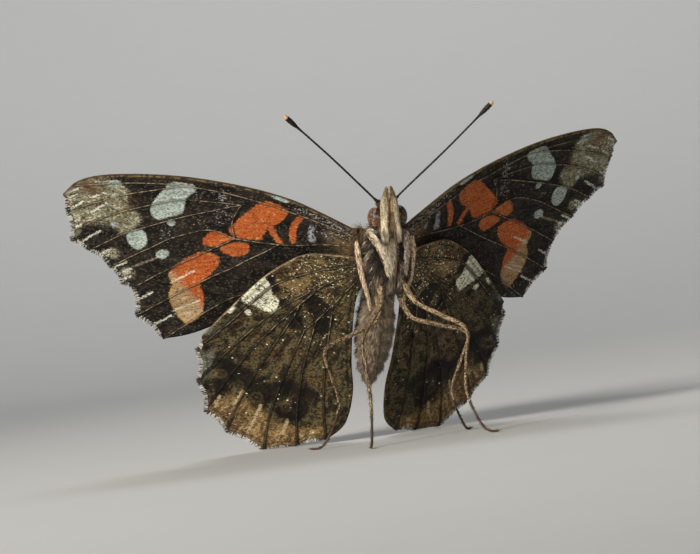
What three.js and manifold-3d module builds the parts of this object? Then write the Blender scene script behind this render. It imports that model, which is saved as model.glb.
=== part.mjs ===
// A red admiral butterfly, life size, basking with its wings opened wide and lifted a little.
// Millimetres, +Z up. The butterfly faces -Y and its own left side is +X.
// Body parts are drawn in a level frame: X to its left, Y towards its tail, Z towards its back,
// with the origin midway between the roots of the forewings. A group then tips that frame nose up.

import * as THREE from 'three'
import { mergeVertices } from 'three/addons/utils/BufferGeometryUtils.js'
import Module from 'manifold-3d'

const wasm = await Module()
wasm.setup()

// Stance
const bodyPitch = THREE.MathUtils.degToRad(55)
const standHeight = 21.55 // forewing roots above the floor
const wingLift = THREE.MathUtils.degToRad(21.4)
const clearance = 0.3 // gap kept between touching pieces

// Wings
const wingRootX = 2.8
const membrane = 0.5
const veinRise = 0.17 // crest of a vein above the membrane, on either face
const veinHalfWidth = 0.42
const wingDroop = 0.9 // how far the tip bows down from the plane of the root
const hindwingDrop = 1.2 // hindwing below the forewing, measured square to the wing
const forewingLength = 31

// Mesh spacing on the wings
const edgeStep = 1.1
const veinStep = 1.5
const fieldStep = 2.5
const closest = 0.3 // least distance between two mesh points
const edgeMargin = 0.35 // mesh points inside a wing keep this far from its edge

// Legs
const femurLength = 6.6
const tibiaLength = 6.6

// Finishes
const finish = (color, roughness = 0.8) => new THREE.MeshStandardMaterial({ color, roughness, metalness: 0 })
const brownBlack = finish(0x2a211b)
const barkBrown = finish(0x4a3a2c)
const greyBrownFur = finish(0x6b5848)
const beigeScale = finish(0xb79f7f)
const darkHorn = finish(0x1c1512, 0.45)
const eyeBrown = finish(0x3a2a20, 0.35)

// Closed surface through rings of equal length, shut by a fan at each end.
function ringSolid(rings) {
  const count = rings[0].length
  const points = rings.flat()
  const faces = []
  for (let row = 0; row + 1 < rings.length; row++) {
    for (let i = 0; i < count; i++) {
      const a = row * count + i
      const b = row * count + ((i + 1) % count)
      faces.push(a, b, a + count, b, b + count, a + count)
    }
  }
  const ends = [[0, rings[0]], [(rings.length - 1) * count, rings[rings.length - 1]]]
  ends.forEach(([start, ring], end) => {
    const middle = ring.reduce((sum, p) => sum.add(p), new THREE.Vector3()).divideScalar(count)
    const hub = points.push(middle) - 1
    for (let i = 0; i < count; i++) {
      const a = start + i
      const b = start + ((i + 1) % count)
      faces.push(...(end === 0 ? [b, a, hub] : [a, b, hub]))
    }
  })
  return outward(new THREE.BufferGeometry().setFromPoints(points).setIndex(faces))
}

// Turns the faces of a closed surface so that they look outward.
function outward(geometry) {
  const position = geometry.getAttribute('position')
  const index = geometry.getIndex().array
  const [a, b, c] = [new THREE.Vector3(), new THREE.Vector3(), new THREE.Vector3()]
  let volume = 0
  for (let i = 0; i < index.length; i += 3) {
    a.fromBufferAttribute(position, index[i])
    b.fromBufferAttribute(position, index[i + 1])
    c.fromBufferAttribute(position, index[i + 2])
    volume += a.dot(b.cross(c))
  }
  if (volume < 0) {
    for (let i = 0; i < index.length; i += 3) {
      const swap = index[i + 1]
      index[i + 1] = index[i + 2]
      index[i + 2] = swap
    }
  }
  return geometry
}

function toSolid(geometry) {
  const bare = new THREE.BufferGeometry()
  bare.setAttribute('position', geometry.getAttribute('position').clone())
  bare.setIndex(geometry.getIndex() ? geometry.getIndex().clone() : null)
  const merged = mergeVertices(bare, 1e-4)
  return new wasm.Manifold(new wasm.Mesh({
    numProp: 3,
    vertProperties: new Float32Array(merged.getAttribute('position').array),
    triVerts: new Uint32Array(merged.getIndex().array)
  }))
}

// The largest closed surface of a solid, as a geometry.
function toGeometry(solid) {
  const pieces = solid.decompose()
  const largest = pieces.reduce((best, piece) => (piece.volume() > best.volume() ? piece : best))
  const mesh = largest.getMesh()
  const geometry = new THREE.BufferGeometry()
  geometry.setAttribute('position', new THREE.Float32BufferAttribute(mesh.vertProperties, 3))
  geometry.setIndex(new THREE.Uint32BufferAttribute(mesh.triVerts, 1))
  return geometry
}

// A piece cut back from its neighbours, given as slightly enlarged forms of them.
function cutClear(geometry, ...neighbours) {
  return toGeometry(neighbours.reduce((solid, form) => solid.subtract(toSolid(form)), toSolid(geometry)))
}

// A point of the level body frame: to its left, forward and towards its back.
function at(left, fore, up) {
  return new THREE.Vector3(left, -fore, up)
}

// Trunk

// Body form through oval sections. Each one gives its place along the body, its half width,
// and how far it reaches towards the back and the belly.
function trunk(sections, sides, rows, grow = 0, ripple = () => 1) {
  const spline = new THREE.CatmullRomCurve3(sections.map(s => new THREE.Vector3(s.fore, s.half, 0)))
  const heights = new THREE.CatmullRomCurve3(sections.map(s => new THREE.Vector3(s.fore, s.top, s.bottom)))
  const rings = []
  for (let row = 0; row <= rows; row++) {
    const width = spline.getPoint(row / rows)
    const height = heights.getPoint(row / rows)
    const middle = (height.y + height.z) / 2
    const scale = ripple(row, rows)
    const halfHeight = ((height.y - height.z) / 2) * scale + grow
    const halfWidth = width.y * scale + grow
    let fore = width.x
    if (row === 0) fore += grow
    if (row === rows) fore -= grow
    const ring = []
    for (let i = 0; i < sides; i++) {
      const turn = (i / sides) * Math.PI * 2
      ring.push(at(Math.cos(turn) * halfWidth, fore, middle + Math.sin(turn) * halfHeight))
    }
    rings.push(ring)
  }
  return ringSolid(rings)
}

const thoraxSections = [
  { fore: 2.6, half: 1.15, top: -0.1, bottom: -2.4 },
  { fore: 2.0, half: 1.8, top: 0.8, bottom: -3.0 },
  { fore: 1.0, half: 2.4, top: 1.5, bottom: -4.0 },
  { fore: -0.5, half: 2.85, top: 1.9, bottom: -4.9 },
  { fore: -2.0, half: 3.0, top: 2.0, bottom: -5.3 },
  { fore: -3.6, half: 2.8, top: 1.8, bottom: -5.2 },
  { fore: -5.0, half: 2.2, top: 1.3, bottom: -4.3 },
  { fore: -6.1, half: 1.5, top: 0.7, bottom: -3.0 }
]

const abdomenSections = [
  { fore: -6.4, half: 1.45, top: 0.6, bottom: -2.9 },
  { fore: -7.7, half: 1.85, top: 0.8, bottom: -3.3 },
  { fore: -9.6, half: 2.1, top: 0.8, bottom: -3.5 },
  { fore: -12.0, half: 2.05, top: 0.6, bottom: -3.4 },
  { fore: -14.4, half: 1.75, top: 0.2, bottom: -3.0 },
  { fore: -16.6, half: 1.2, top: -0.3, bottom: -2.4 },
  { fore: -18.0, half: 0.45, top: -0.9, bottom: -1.8 }
]
const abdomenRings = 7

const thoraxForm = grow => trunk(thoraxSections, 28, 18, grow)

function abdomenForm() {
  const groove = (row, rows) => 1 - 0.045 * (row % (rows / abdomenRings) === 0 && row > 0 && row < rows)
  return trunk(abdomenSections, 24, abdomenRings * 4, 0, groove)
}

// Head

const headCentre = at(0, 3.6, -1.2)
const headReach = { side: 1.15, fore: 1.3, up: 1.35 }
const eyeCentre = { side: 1.32, fore: 3.42, up: -1.55 }
const eyeReach = { side: 0.78, fore: 1.14, up: 1.15 }
const headYaw = THREE.MathUtils.degToRad(-8)

// The head looks a little to the butterfly's right: a turn about the upright through its middle.
const upright = new THREE.Vector3(0, 0, 1).applyAxisAngle(new THREE.Vector3(1, 0, 0), bodyPitch)
const headTurn = new THREE.Matrix4()
  .makeTranslation(headCentre)
  .multiply(new THREE.Matrix4().makeRotationAxis(upright, headYaw))
  .multiply(new THREE.Matrix4().makeTranslation(headCentre.clone().negate()))
const onHead = (left, fore, up) => at(left, fore, up).applyMatrix4(headTurn)

function oval(centre, reach, grow, across, around) {
  return new THREE.SphereGeometry(1, across, around)
    .scale(reach.side + grow, reach.fore + grow, reach.up + grow)
    .translate(centre.x, centre.y, centre.z)
    .applyMatrix4(headTurn)
}

const headForm = grow => oval(headCentre, headReach, grow, 24, 14)

function eyeForm(side, grow) {
  return oval(at(side * eyeCentre.side, eyeCentre.fore, eyeCentre.up), eyeReach, grow, 24, 16)
}

// A bent, tapering limb: rings set square to a curve through the joints.
function limb(joints, radii, sides, rows, grow = 0) {
  const curve = new THREE.CatmullRomCurve3(joints, false, 'centripetal')
  const frames = curve.computeFrenetFrames(rows, false)
  const rings = []
  for (let row = 0; row <= rows; row++) {
    const along = row / rows
    const place = curve.getPointAt(along)
    const radius = radiusAt(radii, along) + grow
    const ring = []
    for (let i = 0; i < sides; i++) {
      const turn = (i / sides) * Math.PI * 2
      const spoke = frames.normals[row].clone().multiplyScalar(Math.cos(turn) * radius)
      spoke.addScaledVector(frames.binormals[row], Math.sin(turn) * radius)
      ring.push(place.clone().add(spoke))
    }
    rings.push(ring)
  }
  return ringSolid(rings)
}

// Radius at a share of a limb's length, from [share, radius] pairs in order.
function radiusAt(radii, along) {
  const next = Math.max(1, radii.findIndex(([share]) => share >= along))
  const [fromShare, fromRadius] = radii[next - 1]
  const [toShare, toRadius] = radii[next]
  return THREE.MathUtils.mapLinear(along, fromShare, toShare, fromRadius, toRadius)
}

// Each palp springs from under the head and rises close before the face to a slim tip.
function palp(side, grow) {
  const joints = [
    onHead(side * 0.7, 2.45, -3.45),
    onHead(side * 0.64, 3.4, -3.0),
    onHead(side * 0.57, 4.4, -2.55),
    onHead(side * 0.52, 6.0, -2.15),
    onHead(side * 0.3, 7.15, -1.95)
  ]
  return limb(joints, [[0, 0.3], [0.15, 0.37], [0.58, 0.38], [0.78, 0.29], [1, 0.12]], 10, 12, grow)
}

// The tongue hangs down before the chest and swings a little to the butterfly's right.
function proboscis(grow) {
  const joints = [
    at(0, 3.3, -2.6),
    at(0.12, 2.7, -3.4),
    at(0.1, 1.9, -4.35),
    at(0, 0.9, -5.1),
    at(-0.2, -0.6, -5.8),
    at(-0.4, -2.8, -6.4),
    at(-0.55, -5.2, -7.1)
  ]
  return limb(joints, [[0, 0.27], [0.85, 0.25], [1, 0.16]], 8, 20, grow)
}

const antennae = {
  left: { side: 1, bow: at(0.3, 0.05, 0.1), tip: at(11.2, 15.2, 0.2) },
  right: { side: -1, bow: at(-0.05, 0.2, 0.1), tip: at(-11.2, 14.7, 2.0) }
}
const clubShare = 0.15
const clubRadius = 0.4

// A feeler is a fine, nearly straight rod with a short club at its end.
function antenna({ side, bow, tip }) {
  const root = onHead(side * 0.55, 4.6, -0.95)
  const collar = onHead(side * 1.15, 5.25, -0.8)
  const middle = collar.clone().lerp(tip, 0.5).add(bow)
  const club = 1 - clubShare
  const radii = [
    [0, 0.27], [0.5, 0.25], [club, 0.26], [club + 0.05, clubRadius], [0.975, clubRadius * 0.95], [1, 0.16]
  ]
  return limb([root, collar, middle, tip], radii, 8, 30)
}

// Wings. A place on a wing is [out, fore]: out from the root and forward, both in the wing's plane.

const forewing = {
  costa: [
    [-1.0, 0.7], [3.5, 2.75], [7.4, 4.25], [12.5, 5.3],
    [19.0, 5.85], [25.5, 5.5], [29.0, 4.55], [30.8, 2.7]
  ],
  tips: [
    [30.5, 0.8], [29.9, -3.0], [28.0, -3.95], [25.7, -5.75],
    [23.15, -8.2], [22.7, -11.8], [19.5, -14.5]
  ],
  inner: [[16.0, -13.3], [10.5, -9.9], [5.0, -6.0], [1.0, -3.6], [-1.0, -2.6]],
  veins: [
    [[-0.6, 0.3], [6, 2.5], [12, 4.1], [18, 4.9], [24, 4.75], [30.2, 3.9]],
    [[18, 4.9], [24, 3.4], [30.5, 0.8]],
    [[12.2, 3.1], [17.6, 3.25], [21.4, 2.4], [26.4, 0.4], [30.1, -1.9]],
    [[12.2, 3.1], [16.9, 1.6], [23.9, -1.3], [28.0, -3.95]],
    [[12.6, -1.05], [15.5, -0.2], [19.3, -1.6], [21.8, -3.2], [25.7, -5.75]],
    [[12.6, -1.05], [18.6, -4.9], [23.15, -8.2]],
    [[-0.6, -0.5], [3.3, -0.85], [7.9, -1.3], [12.6, -1.05]],
    [[7.9, -1.3], [12.0, -4.2], [17.7, -8.0], [22.7, -11.8]],
    [[-0.6, -1.2], [4.0, -3.6], [9.0, -6.6], [13.8, -9.4], [19.5, -14.5]],
    [[12.2, 3.1], [13.0, 1.0], [12.6, -1.05]]
  ],
  scallop: 0.3
}

// The right forewing has a nick in its outer margin, where one vein ends.
const nickedForewing = { ...forewing, tips: forewing.tips.toSpliced(4, 0, [24.3, -8.0]) }

const hindwing = {
  costa: [[-1.1, -1.5], [1.8, -1.35], [5.0, -1.65], [7.3, -3.1], [9.6, -5.3], [12.9, -9.6], [15.3, -13.0]],
  tips: [
    [15.95, -14.8], [15.55, -19.0], [14.5, -22.9], [12.0, -25.4],
    [7.65, -27.85], [3.9, -26.9], [0.9, -25.2]
  ],
  inner: [[-1.0, -22.8], [-1.5, -18.6], [-1.0, -14.6], [-0.75, -10.0], [-0.8, -6.6], [-1.4, -4.6]],
  veins: [
    [[-0.6, -2.2], [3.0, -3.2], [7.3, -5.1], [9.7, -7.4], [12.6, -11.0], [15.95, -14.8]],
    [[-0.8, -3.0], [2.4, -4.8], [5.2, -7.8]],
    [[2.4, -4.8], [7.6, -8.8], [12.0, -14.0], [15.55, -19.0]],
    [[5.2, -7.8], [9.2, -13.0], [12.3, -18.3], [14.5, -22.9]],
    [[5.2, -7.8], [5.7, -9.4], [8.4, -15.2], [10.6, -20.5], [12.0, -25.4]],
    [[-0.6, -4.2], [1.6, -7.4], [3.2, -9.6], [4.4, -11.0]],
    [[5.7, -9.4], [4.4, -11.0]],
    [[4.4, -11.0], [6.1, -17.0], [7.3, -22.5], [7.65, -27.85]],
    [[3.2, -9.6], [4.1, -15.5], [4.4, -21.5], [3.9, -26.9]],
    [[1.6, -7.4], [1.8, -14.0], [1.6, -20.0], [0.9, -25.2]]
  ],
  scallop: 0.4
}

const flat = ([out, fore]) => new THREE.Vector2(out, fore)

// Points at even steps along a smooth line.
function alongLine(places, step) {
  const line = new THREE.SplineCurve(places.map(flat))
  return line.getSpacedPoints(Math.max(1, Math.round(line.getLength() / step)))
}

// The wing's edge: front margin, then the outer margin hollowed between the vein ends, then the inner margin.
function wingEdge(wing) {
  const first = flat(wing.costa[wing.costa.length - 1])
  const ends = [first, ...wing.tips.map(flat)]
  const edge = alongLine(wing.costa, edgeStep)
  for (let i = 0; i + 1 < ends.length; i++) {
    const chord = ends[i + 1].clone().sub(ends[i])
    const inward = new THREE.Vector2(chord.y, -chord.x).normalize()
    const steps = Math.max(2, Math.round(chord.length() / edgeStep))
    for (let k = 1; k <= steps; k++) {
      const hollow = wing.scallop * Math.min(1, chord.length() / 3) * Math.sin((k / steps) * Math.PI)
      edge.push(ends[i].clone().addScaledVector(chord, k / steps).addScaledVector(inward, hollow))
    }
  }
  const inner = alongLine([wing.tips[wing.tips.length - 1], ...wing.inner], edgeStep * 1.6)
  return [...edge, ...inner.slice(1)]
}

function insideEdge(point, edge) {
  let inside = false
  edge.forEach((a, i) => {
    const b = edge[(i + 1) % edge.length]
    const crosses = a.y > point.y !== b.y > point.y
    if (crosses && point.x < ((b.x - a.x) * (point.y - a.y)) / (b.y - a.y) + a.x) inside = !inside
  })
  return inside
}

function distanceToRun(point, run, closed = false) {
  let nearest = Infinity
  const count = closed ? run.length : run.length - 1
  for (let i = 0; i < count; i++) {
    const a = run[i]
    const chord = run[(i + 1) % run.length].clone().sub(a)
    const share = THREE.MathUtils.clamp(point.clone().sub(a).dot(chord) / chord.lengthSq(), 0, 1)
    nearest = Math.min(nearest, point.distanceTo(chord.multiplyScalar(share).add(a)))
  }
  return nearest
}

// Mesh points of a wing: its edge, the crest and the two feet of each vein, and a loose field between.
function wingPoints(wing, edge) {
  const points = [...edge]
  const veins = wing.veins.map(places => alongLine(places, veinStep))
  const clearOf = (point, gap) => points.every(other => other.distanceTo(point) > gap)
  const addInside = (point, gap, margin) => {
    if (!insideEdge(point, edge) || distanceToRun(point, edge, true) < margin) return
    if (clearOf(point, gap)) points.push(point)
  }
  veins.forEach(vein => vein.forEach(point => addInside(point, closest, edgeMargin)))
  veins.forEach(vein => {
    for (let i = 0; i + 1 < vein.length; i++) {
      const side = vein[i + 1].clone().sub(vein[i]).normalize()
      side.set(-side.y, side.x)
      for (const sign of [-1, 1]) {
        const foot = vein[i].clone().addScaledVector(side, sign * veinHalfWidth)
        if (Math.min(...veins.map(run => distanceToRun(foot, run))) > veinHalfWidth * 0.9) {
          addInside(foot, closest, edgeMargin)
        }
      }
    }
  })
  const { min, max } = new THREE.Box2().setFromPoints(edge)
  let shift = 0
  for (let fore = min.y; fore < max.y; fore += fieldStep * Math.sqrt(0.75)) {
    for (let out = min.x + shift; out < max.x; out += fieldStep) {
      addInside(new THREE.Vector2(out, fore), fieldStep / 2, edgeMargin * 2.5)
    }
    shift = fieldStep / 2 - shift
  }
  return { points, veins }
}

// Delaunay triangles of a set of points, each nudged a hair so that no four share a circle.
function delaunay(points) {
  const count = points.length
  const far = 4000
  const nudge = turn => 1e-5 * Math.sin(turn)
  const all = points.map((p, i) => ({ x: p.x + nudge(i * 12.9), y: p.y + nudge(i * 7.3) }))
  all.push({ x: -far, y: -far }, { x: far, y: -far }, { x: 0, y: far })
  const circled = (a, b, c) => {
    const [p, q, r] = [all[a], all[b], all[c]]
    const d = 2 * (p.x * (q.y - r.y) + q.x * (r.y - p.y) + r.x * (p.y - q.y))
    const [pp, qq, rr] = [p.x ** 2 + p.y ** 2, q.x ** 2 + q.y ** 2, r.x ** 2 + r.y ** 2]
    const x = (pp * (q.y - r.y) + qq * (r.y - p.y) + rr * (p.y - q.y)) / d
    const y = (pp * (r.x - q.x) + qq * (p.x - r.x) + rr * (q.x - p.x)) / d
    return { corners: d > 0 ? [a, b, c] : [a, c, b], x, y, reach: (p.x - x) ** 2 + (p.y - y) ** 2 }
  }
  let triangles = [circled(count, count + 1, count + 2)]
  for (let i = 0; i < count; i++) {
    const hit = t => (all[i].x - t.x) ** 2 + (all[i].y - t.y) ** 2 < t.reach
    const rim = new Map()
    triangles.filter(hit).forEach(({ corners: [a, b, c] }) => {
      for (const [from, to] of [[a, b], [b, c], [c, a]]) {
        if (!rim.delete(`${to} ${from}`)) rim.set(`${from} ${to}`, [from, to])
      }
    })
    triangles = triangles.filter(t => !hit(t))
    rim.forEach(([from, to]) => triangles.push(circled(from, to, i)))
  }
  return triangles.map(t => t.corners).filter(corners => Math.max(...corners) < count)
}

// A wing is one sheet with the same triangles on both faces, walled along its edge.
function wingForm(wing, side, drop) {
  const edge = wingEdge(wing)
  const { points, veins } = wingPoints(wing, edge)
  const sheet = delaunay(points).filter(corners => {
    const middle = new THREE.Vector2()
    corners.forEach(corner => middle.add(points[corner]))
    return insideEdge(middle.divideScalar(3), edge)
  })
  const shell = []
  for (const face of [1, -1]) {
    points.forEach(point => {
      const nearest = Math.min(...veins.map(run => distanceToRun(point, run)))
      const rise = veinRise * Math.max(0, 1 - nearest / veinHalfWidth)
      const bow = -wingDroop * (Math.max(0, point.x) / forewingLength) ** 2
      shell.push(new THREE.Vector3(side * point.x, -point.y, bow - drop + face * (membrane / 2 + rise)))
    })
  }
  const count = points.length
  const rim = new Map()
  const faces = []
  sheet.forEach(([a, b, c]) => {
    faces.push(a, b, c, a + count, c + count, b + count)
    for (const [from, to] of [[a, b], [b, c], [c, a]]) {
      if (!rim.delete(`${to} ${from}`)) rim.set(`${from} ${to}`, [from, to])
    }
  })
  rim.forEach(([from, to]) => faces.push(from, from + count, to, to, from + count, to + count))
  const geometry = new THREE.BufferGeometry().setFromPoints(shell).setIndex(faces)
  geometry.rotateY(-side * wingLift)
  geometry.translate(side * wingRootX, 0, 0)
  return outward(geometry)
}

// Legs are drawn in the upright frame of the floor.

const toStand = new THREE.Matrix4()
  .makeTranslation(0, 0, standHeight)
  .multiply(new THREE.Matrix4().makeRotationX(-bodyPitch))
const floorForm = new THREE.BoxGeometry(120, 120, 20).translate(0, 0, -10)

// Knee of a two-part leg whose ends and lengths are known, bent towards a given side.
function kneeBetween(hip, ankle, bend) {
  const span = ankle.clone().sub(hip)
  const reach = span.length()
  const near = (femurLength ** 2 - tibiaLength ** 2 + reach ** 2) / (2 * reach)
  const rise = Math.sqrt(Math.max(0, femurLength ** 2 - near ** 2))
  span.normalize()
  const off = bend.clone().addScaledVector(span, -bend.dot(span)).normalize()
  return hip.clone().addScaledVector(span, near).addScaledVector(off, rise)
}

const legs = {
  mid: {
    root: at(1.2, -2.6, -4.2),
    hip: new THREE.Vector3(1.9, -3.1, 14.5),
    ankle: new THREE.Vector3(5.3, -6.4, 4.4),
    toe: [
      new THREE.Vector3(6.2, -7.9, 0.7),
      new THREE.Vector3(6.6, -8.7, 0.2),
      new THREE.Vector3(7.0, -9.9, 0.2)
    ],
    bend: new THREE.Vector3(0.6, -0.7, 0.5)
  },
  hind: {
    root: at(1.1, -4.4, -3.4),
    hip: new THREE.Vector3(1.9, -1.5, 12.9),
    ankle: new THREE.Vector3(6.4, 0.8, 4.4),
    toe: [
      new THREE.Vector3(7.9, 2.3, 0.7),
      new THREE.Vector3(8.4, 2.8, 0.2),
      new THREE.Vector3(9.3, 3.7, 0.2)
    ],
    bend: new THREE.Vector3(1, -0.3, 0.4)
  }
}

function walkingLeg(side, { root, hip, ankle, toe, bend }) {
  const knee = kneeBetween(hip, ankle, bend)
  const start = root.clone().applyMatrix4(toStand)
  const femurMiddle = hip.clone().lerp(knee, 0.5)
  const tibiaMiddle = knee.clone().lerp(ankle, 0.5)
  const joints = [start, hip, femurMiddle, knee, tibiaMiddle, ankle, ...toe]
  joints.forEach(joint => (joint.x *= side))
  const radii = [
    [0, 0.5], [0.12, 0.48], [0.25, 0.52], [0.42, 0.42], [0.46, 0.34], [0.52, 0.43],
    [0.68, 0.38], [0.735, 0.27], [0.78, 0.3], [0.97, 0.26], [1, 0.25]
  ]
  const chest = thoraxForm(clearance).applyMatrix4(toStand)
  return cutClear(limb(joints, radii, 9, 36), chest, floorForm)
}

// The front legs are small brushes folded down the chest, the left one tucked in closer.
const forelegs = {
  left: [at(1.15, 1.7, -2.0), at(1.5, 2.2, -3.1), at(1.4, 1.5, -4.35), at(1.15, 0.4, -5.25), at(0.95, -0.9, -5.85)],
  right: [at(-1.3, 1.9, -2.0), at(-2.35, 2.5, -2.75), at(-2.05, 2.1, -4.1), at(-1.5, 0.8, -5.15), at(-1.08, -0.9, -5.8)]
}

function foreleg(joints) {
  return cutClear(limb(joints, [[0, 0.34], [0.75, 0.34], [1, 0.2]], 8, 14), thoraxForm(clearance))
}

// Assembly

const group = new THREE.Group()
const body = new THREE.Group()
body.rotation.x = -bodyPitch
body.position.z = standHeight
group.add(body)

function add(parent, name, geometry, material) {
  const mesh = new THREE.Mesh(geometry, material)
  mesh.name = name
  parent.add(mesh)
}

const bodyFloor = floorForm.clone().applyMatrix4(toStand.clone().invert())
const sides = { left: 1, right: -1 }

add(body, 'thorax', thoraxForm(0), greyBrownFur)
add(body, 'abdomen', abdomenForm(), barkBrown)
const eyeSockets = Object.values(sides).map(side => eyeForm(side, clearance))
const palpGrooves = Object.values(sides).map(side => palp(side, clearance))
const headHollows = [thoraxForm(clearance), ...eyeSockets, ...palpGrooves]
add(body, 'head', cutClear(headForm(0), ...headHollows), greyBrownFur)
add(body, 'proboscis', cutClear(proboscis(0), headForm(clearance)), darkHorn)

for (const [name, side] of Object.entries(sides)) {
  const inwardOfEye = oval(headCentre, { side: 0.75, fore: 3, up: 3 }, clearance, 20, 12)
  const eye = cutClear(eyeForm(side, 0), inwardOfEye, thoraxForm(clearance), ...palpGrooves)
  add(body, `eye_${name}`, eye, eyeBrown)
  add(body, `palp_${name}`, cutClear(palp(side, 0), thoraxForm(clearance), proboscis(clearance)), beigeScale)
  add(body, `antenna_${name}`, cutClear(antenna(antennae[name]), headForm(clearance)), darkHorn)
  const upper = wingForm(side === 1 ? forewing : nickedForewing, side, 0)
  add(body, `forewing_${name}`, cutClear(upper, thoraxForm(clearance)), brownBlack)
  const lower = cutClear(wingForm(hindwing, side, hindwingDrop), thoraxForm(clearance), bodyFloor)
  add(body, `hindwing_${name}`, lower, barkBrown)
  add(body, `foreleg_${name}`, foreleg(forelegs[name]), beigeScale)
  add(group, `midleg_${name}`, walkingLeg(side, legs.mid), beigeScale)
  add(group, `hindleg_${name}`, walkingLeg(side, legs.hind), beigeScale)
}

// Stand the model on the middle of its own box.
const box = new THREE.Box3().setFromObject(group, true)
const middle = box.getCenter(new THREE.Vector3())
group.position.set(-middle.x, -middle.y, 0)

export default group
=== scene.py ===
import math

import bmesh
import bpy
import numpy as np
from mathutils import Matrix, Vector
from mathutils.geometry import delaunay_2d_cdt


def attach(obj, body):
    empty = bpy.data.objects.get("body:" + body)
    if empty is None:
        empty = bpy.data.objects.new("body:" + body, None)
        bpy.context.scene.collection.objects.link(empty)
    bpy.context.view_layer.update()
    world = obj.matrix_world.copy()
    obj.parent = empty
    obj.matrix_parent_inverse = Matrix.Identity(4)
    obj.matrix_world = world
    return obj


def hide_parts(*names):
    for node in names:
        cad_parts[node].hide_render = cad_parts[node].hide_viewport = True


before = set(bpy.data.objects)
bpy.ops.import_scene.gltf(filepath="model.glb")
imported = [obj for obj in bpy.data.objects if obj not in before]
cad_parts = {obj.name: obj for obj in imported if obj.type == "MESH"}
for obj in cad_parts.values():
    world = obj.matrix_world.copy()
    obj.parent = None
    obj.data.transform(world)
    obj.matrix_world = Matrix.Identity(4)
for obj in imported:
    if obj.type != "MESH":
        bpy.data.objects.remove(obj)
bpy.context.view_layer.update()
mm = 0.001


def newObject(name, data):
    item = bpy.data.objects.new(name, data)
    bpy.context.scene.collection.objects.link(item)
    return item


# Camera first: the photograph's viewpoint, low in front and a little to the butterfly's right.
viewpoint = {
    "target": (-2.51, 0.0, 17.78),   # millimetres
    "distance": 280.0,
    "azimuth": -18.73,               # degrees, 0 looks along +Y
    "elevation": -0.92,
    "roll": -6.67,
    "lens": 134.9,
}


def placeCamera():
    azimuth, elevation, roll = (math.radians(viewpoint[k]) for k in ("azimuth", "elevation", "roll"))
    back = Vector((
        math.sin(azimuth) * math.cos(elevation),
        -math.cos(azimuth) * math.cos(elevation),
        math.sin(elevation),
    ))
    across = Vector((0, 0, 1)).cross(back).normalized()
    over = back.cross(across)
    right = across * math.cos(roll) + over * math.sin(roll)
    up = over * math.cos(roll) - across * math.sin(roll)
    data = bpy.data.cameras.new("view")
    data.lens = viewpoint["lens"]
    data.clip_start = 0.01
    data.clip_end = 20
    camera = newObject("view", data)
    place = (Vector(viewpoint["target"]) + back * viewpoint["distance"]) * mm
    camera.matrix_world = Matrix.Translation(place) @ Matrix((right, up, back)).transposed().to_4x4()
    bpy.context.scene.camera = camera


placeCamera()
print("stage: camera placed")

# The butterfly's own frame, in millimetres from between the wing roots: left, fore, and up to its back.
stance = {
    "pitch": 55.0,         # degrees nose up
    "rootDepth": -3.796,   # where the point between the wing roots is along the row's Y
    "rootHeight": 21.55,
    "wingLift": 21.4,      # degrees
    "wingRootOut": 2.8,
    "wingBow": 0.9,        # sag of the forewing's tip
    "forewingLength": 31.0,
    "hindwingDrop": 1.2,
}


def turnToRow(vectors):
    left, fore, up = np.asarray(vectors, float).T
    c, s = math.cos(math.radians(stance["pitch"])), math.sin(math.radians(stance["pitch"]))
    return np.stack([left, -fore * c + up * s, fore * s + up * c], 1)


def toRow(points):
    return (turnToRow(points) + (0, stance["rootDepth"], stance["rootHeight"])) * mm


# The same turn leads back.
def fromRow(points):
    return turnToRow(np.asarray(points, float) / mm - (0, stance["rootDepth"], stance["rootHeight"]))


head = {
    "centre": (0.0, 3.6, -1.2),
    "yaw": -8.0,           # degrees, towards the butterfly's right
}


def onHead(points):
    yaw = math.radians(head["yaw"])
    c, s = math.cos(yaw), math.sin(yaw)
    x, y, z = turnToRow(np.asarray(points, float) - head["centre"]).T
    return fromRow((np.stack([x * c - y * s, x * s + y * c, z], 1) + toRow([head["centre"]]) / mm) * mm)


# Whatever would sink through the floor settles just above it.
def aboveFloor(points):
    low = 0.5
    height = points[..., 2]
    points[..., 2] = np.where(height < low, low * np.exp((np.minimum(height, low) - low) / low), height)
    return points


def wingToBody(side, out, fore, height):
    lift = math.radians(stance["wingLift"])
    left = side * (out * math.cos(lift) - height * math.sin(lift) + stance["wingRootOut"])
    up = out * math.sin(lift) + height * math.cos(lift)
    return np.stack([left, fore, up], 1)


def unit(vectors):
    vectors = np.asarray(vectors, float)
    return vectors / np.maximum(np.linalg.norm(vectors, axis=-1, keepdims=True), 1e-12)


def ease(low, high, values):
    share = np.clip((values - low) / (high - low), 0, 1)
    return share * share * (3 - 2 * share)


def around(count):
    return np.linspace(0, 2 * math.pi, count, endpoint=False)


# Curves and distances
def evenly(points, step):
    lengths = np.concatenate([[0], np.cumsum(np.linalg.norm(np.diff(points, axis=0), axis=1))])
    count = max(1, round(lengths[-1] / step))
    at = np.linspace(0, lengths[-1], count + 1)
    return np.stack([np.interp(at, lengths, points[:, k]) for k in range(points.shape[1])], 1)


def smoothLine(places, step, closed=False):
    places = np.asarray(places, float)
    before, after = (places[-1:], places[:2]) if closed else (places[:1], places[-1:])
    ring = np.vstack([before, places, after])
    share = np.linspace(0, 1, 13)[:-1, None]
    rows = []
    for a, b, c, d in zip(ring, ring[1:], ring[2:], ring[3:]):
        rows.append(0.5 * (
            2 * b + (c - a) * share + (2 * a - 5 * b + 4 * c - d) * share**2
            + (3 * b - a - 3 * c + d) * share**3
        ))
    end = places[:1] if closed else places[-1:]
    return evenly(np.vstack([*rows, end]), step)


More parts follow.
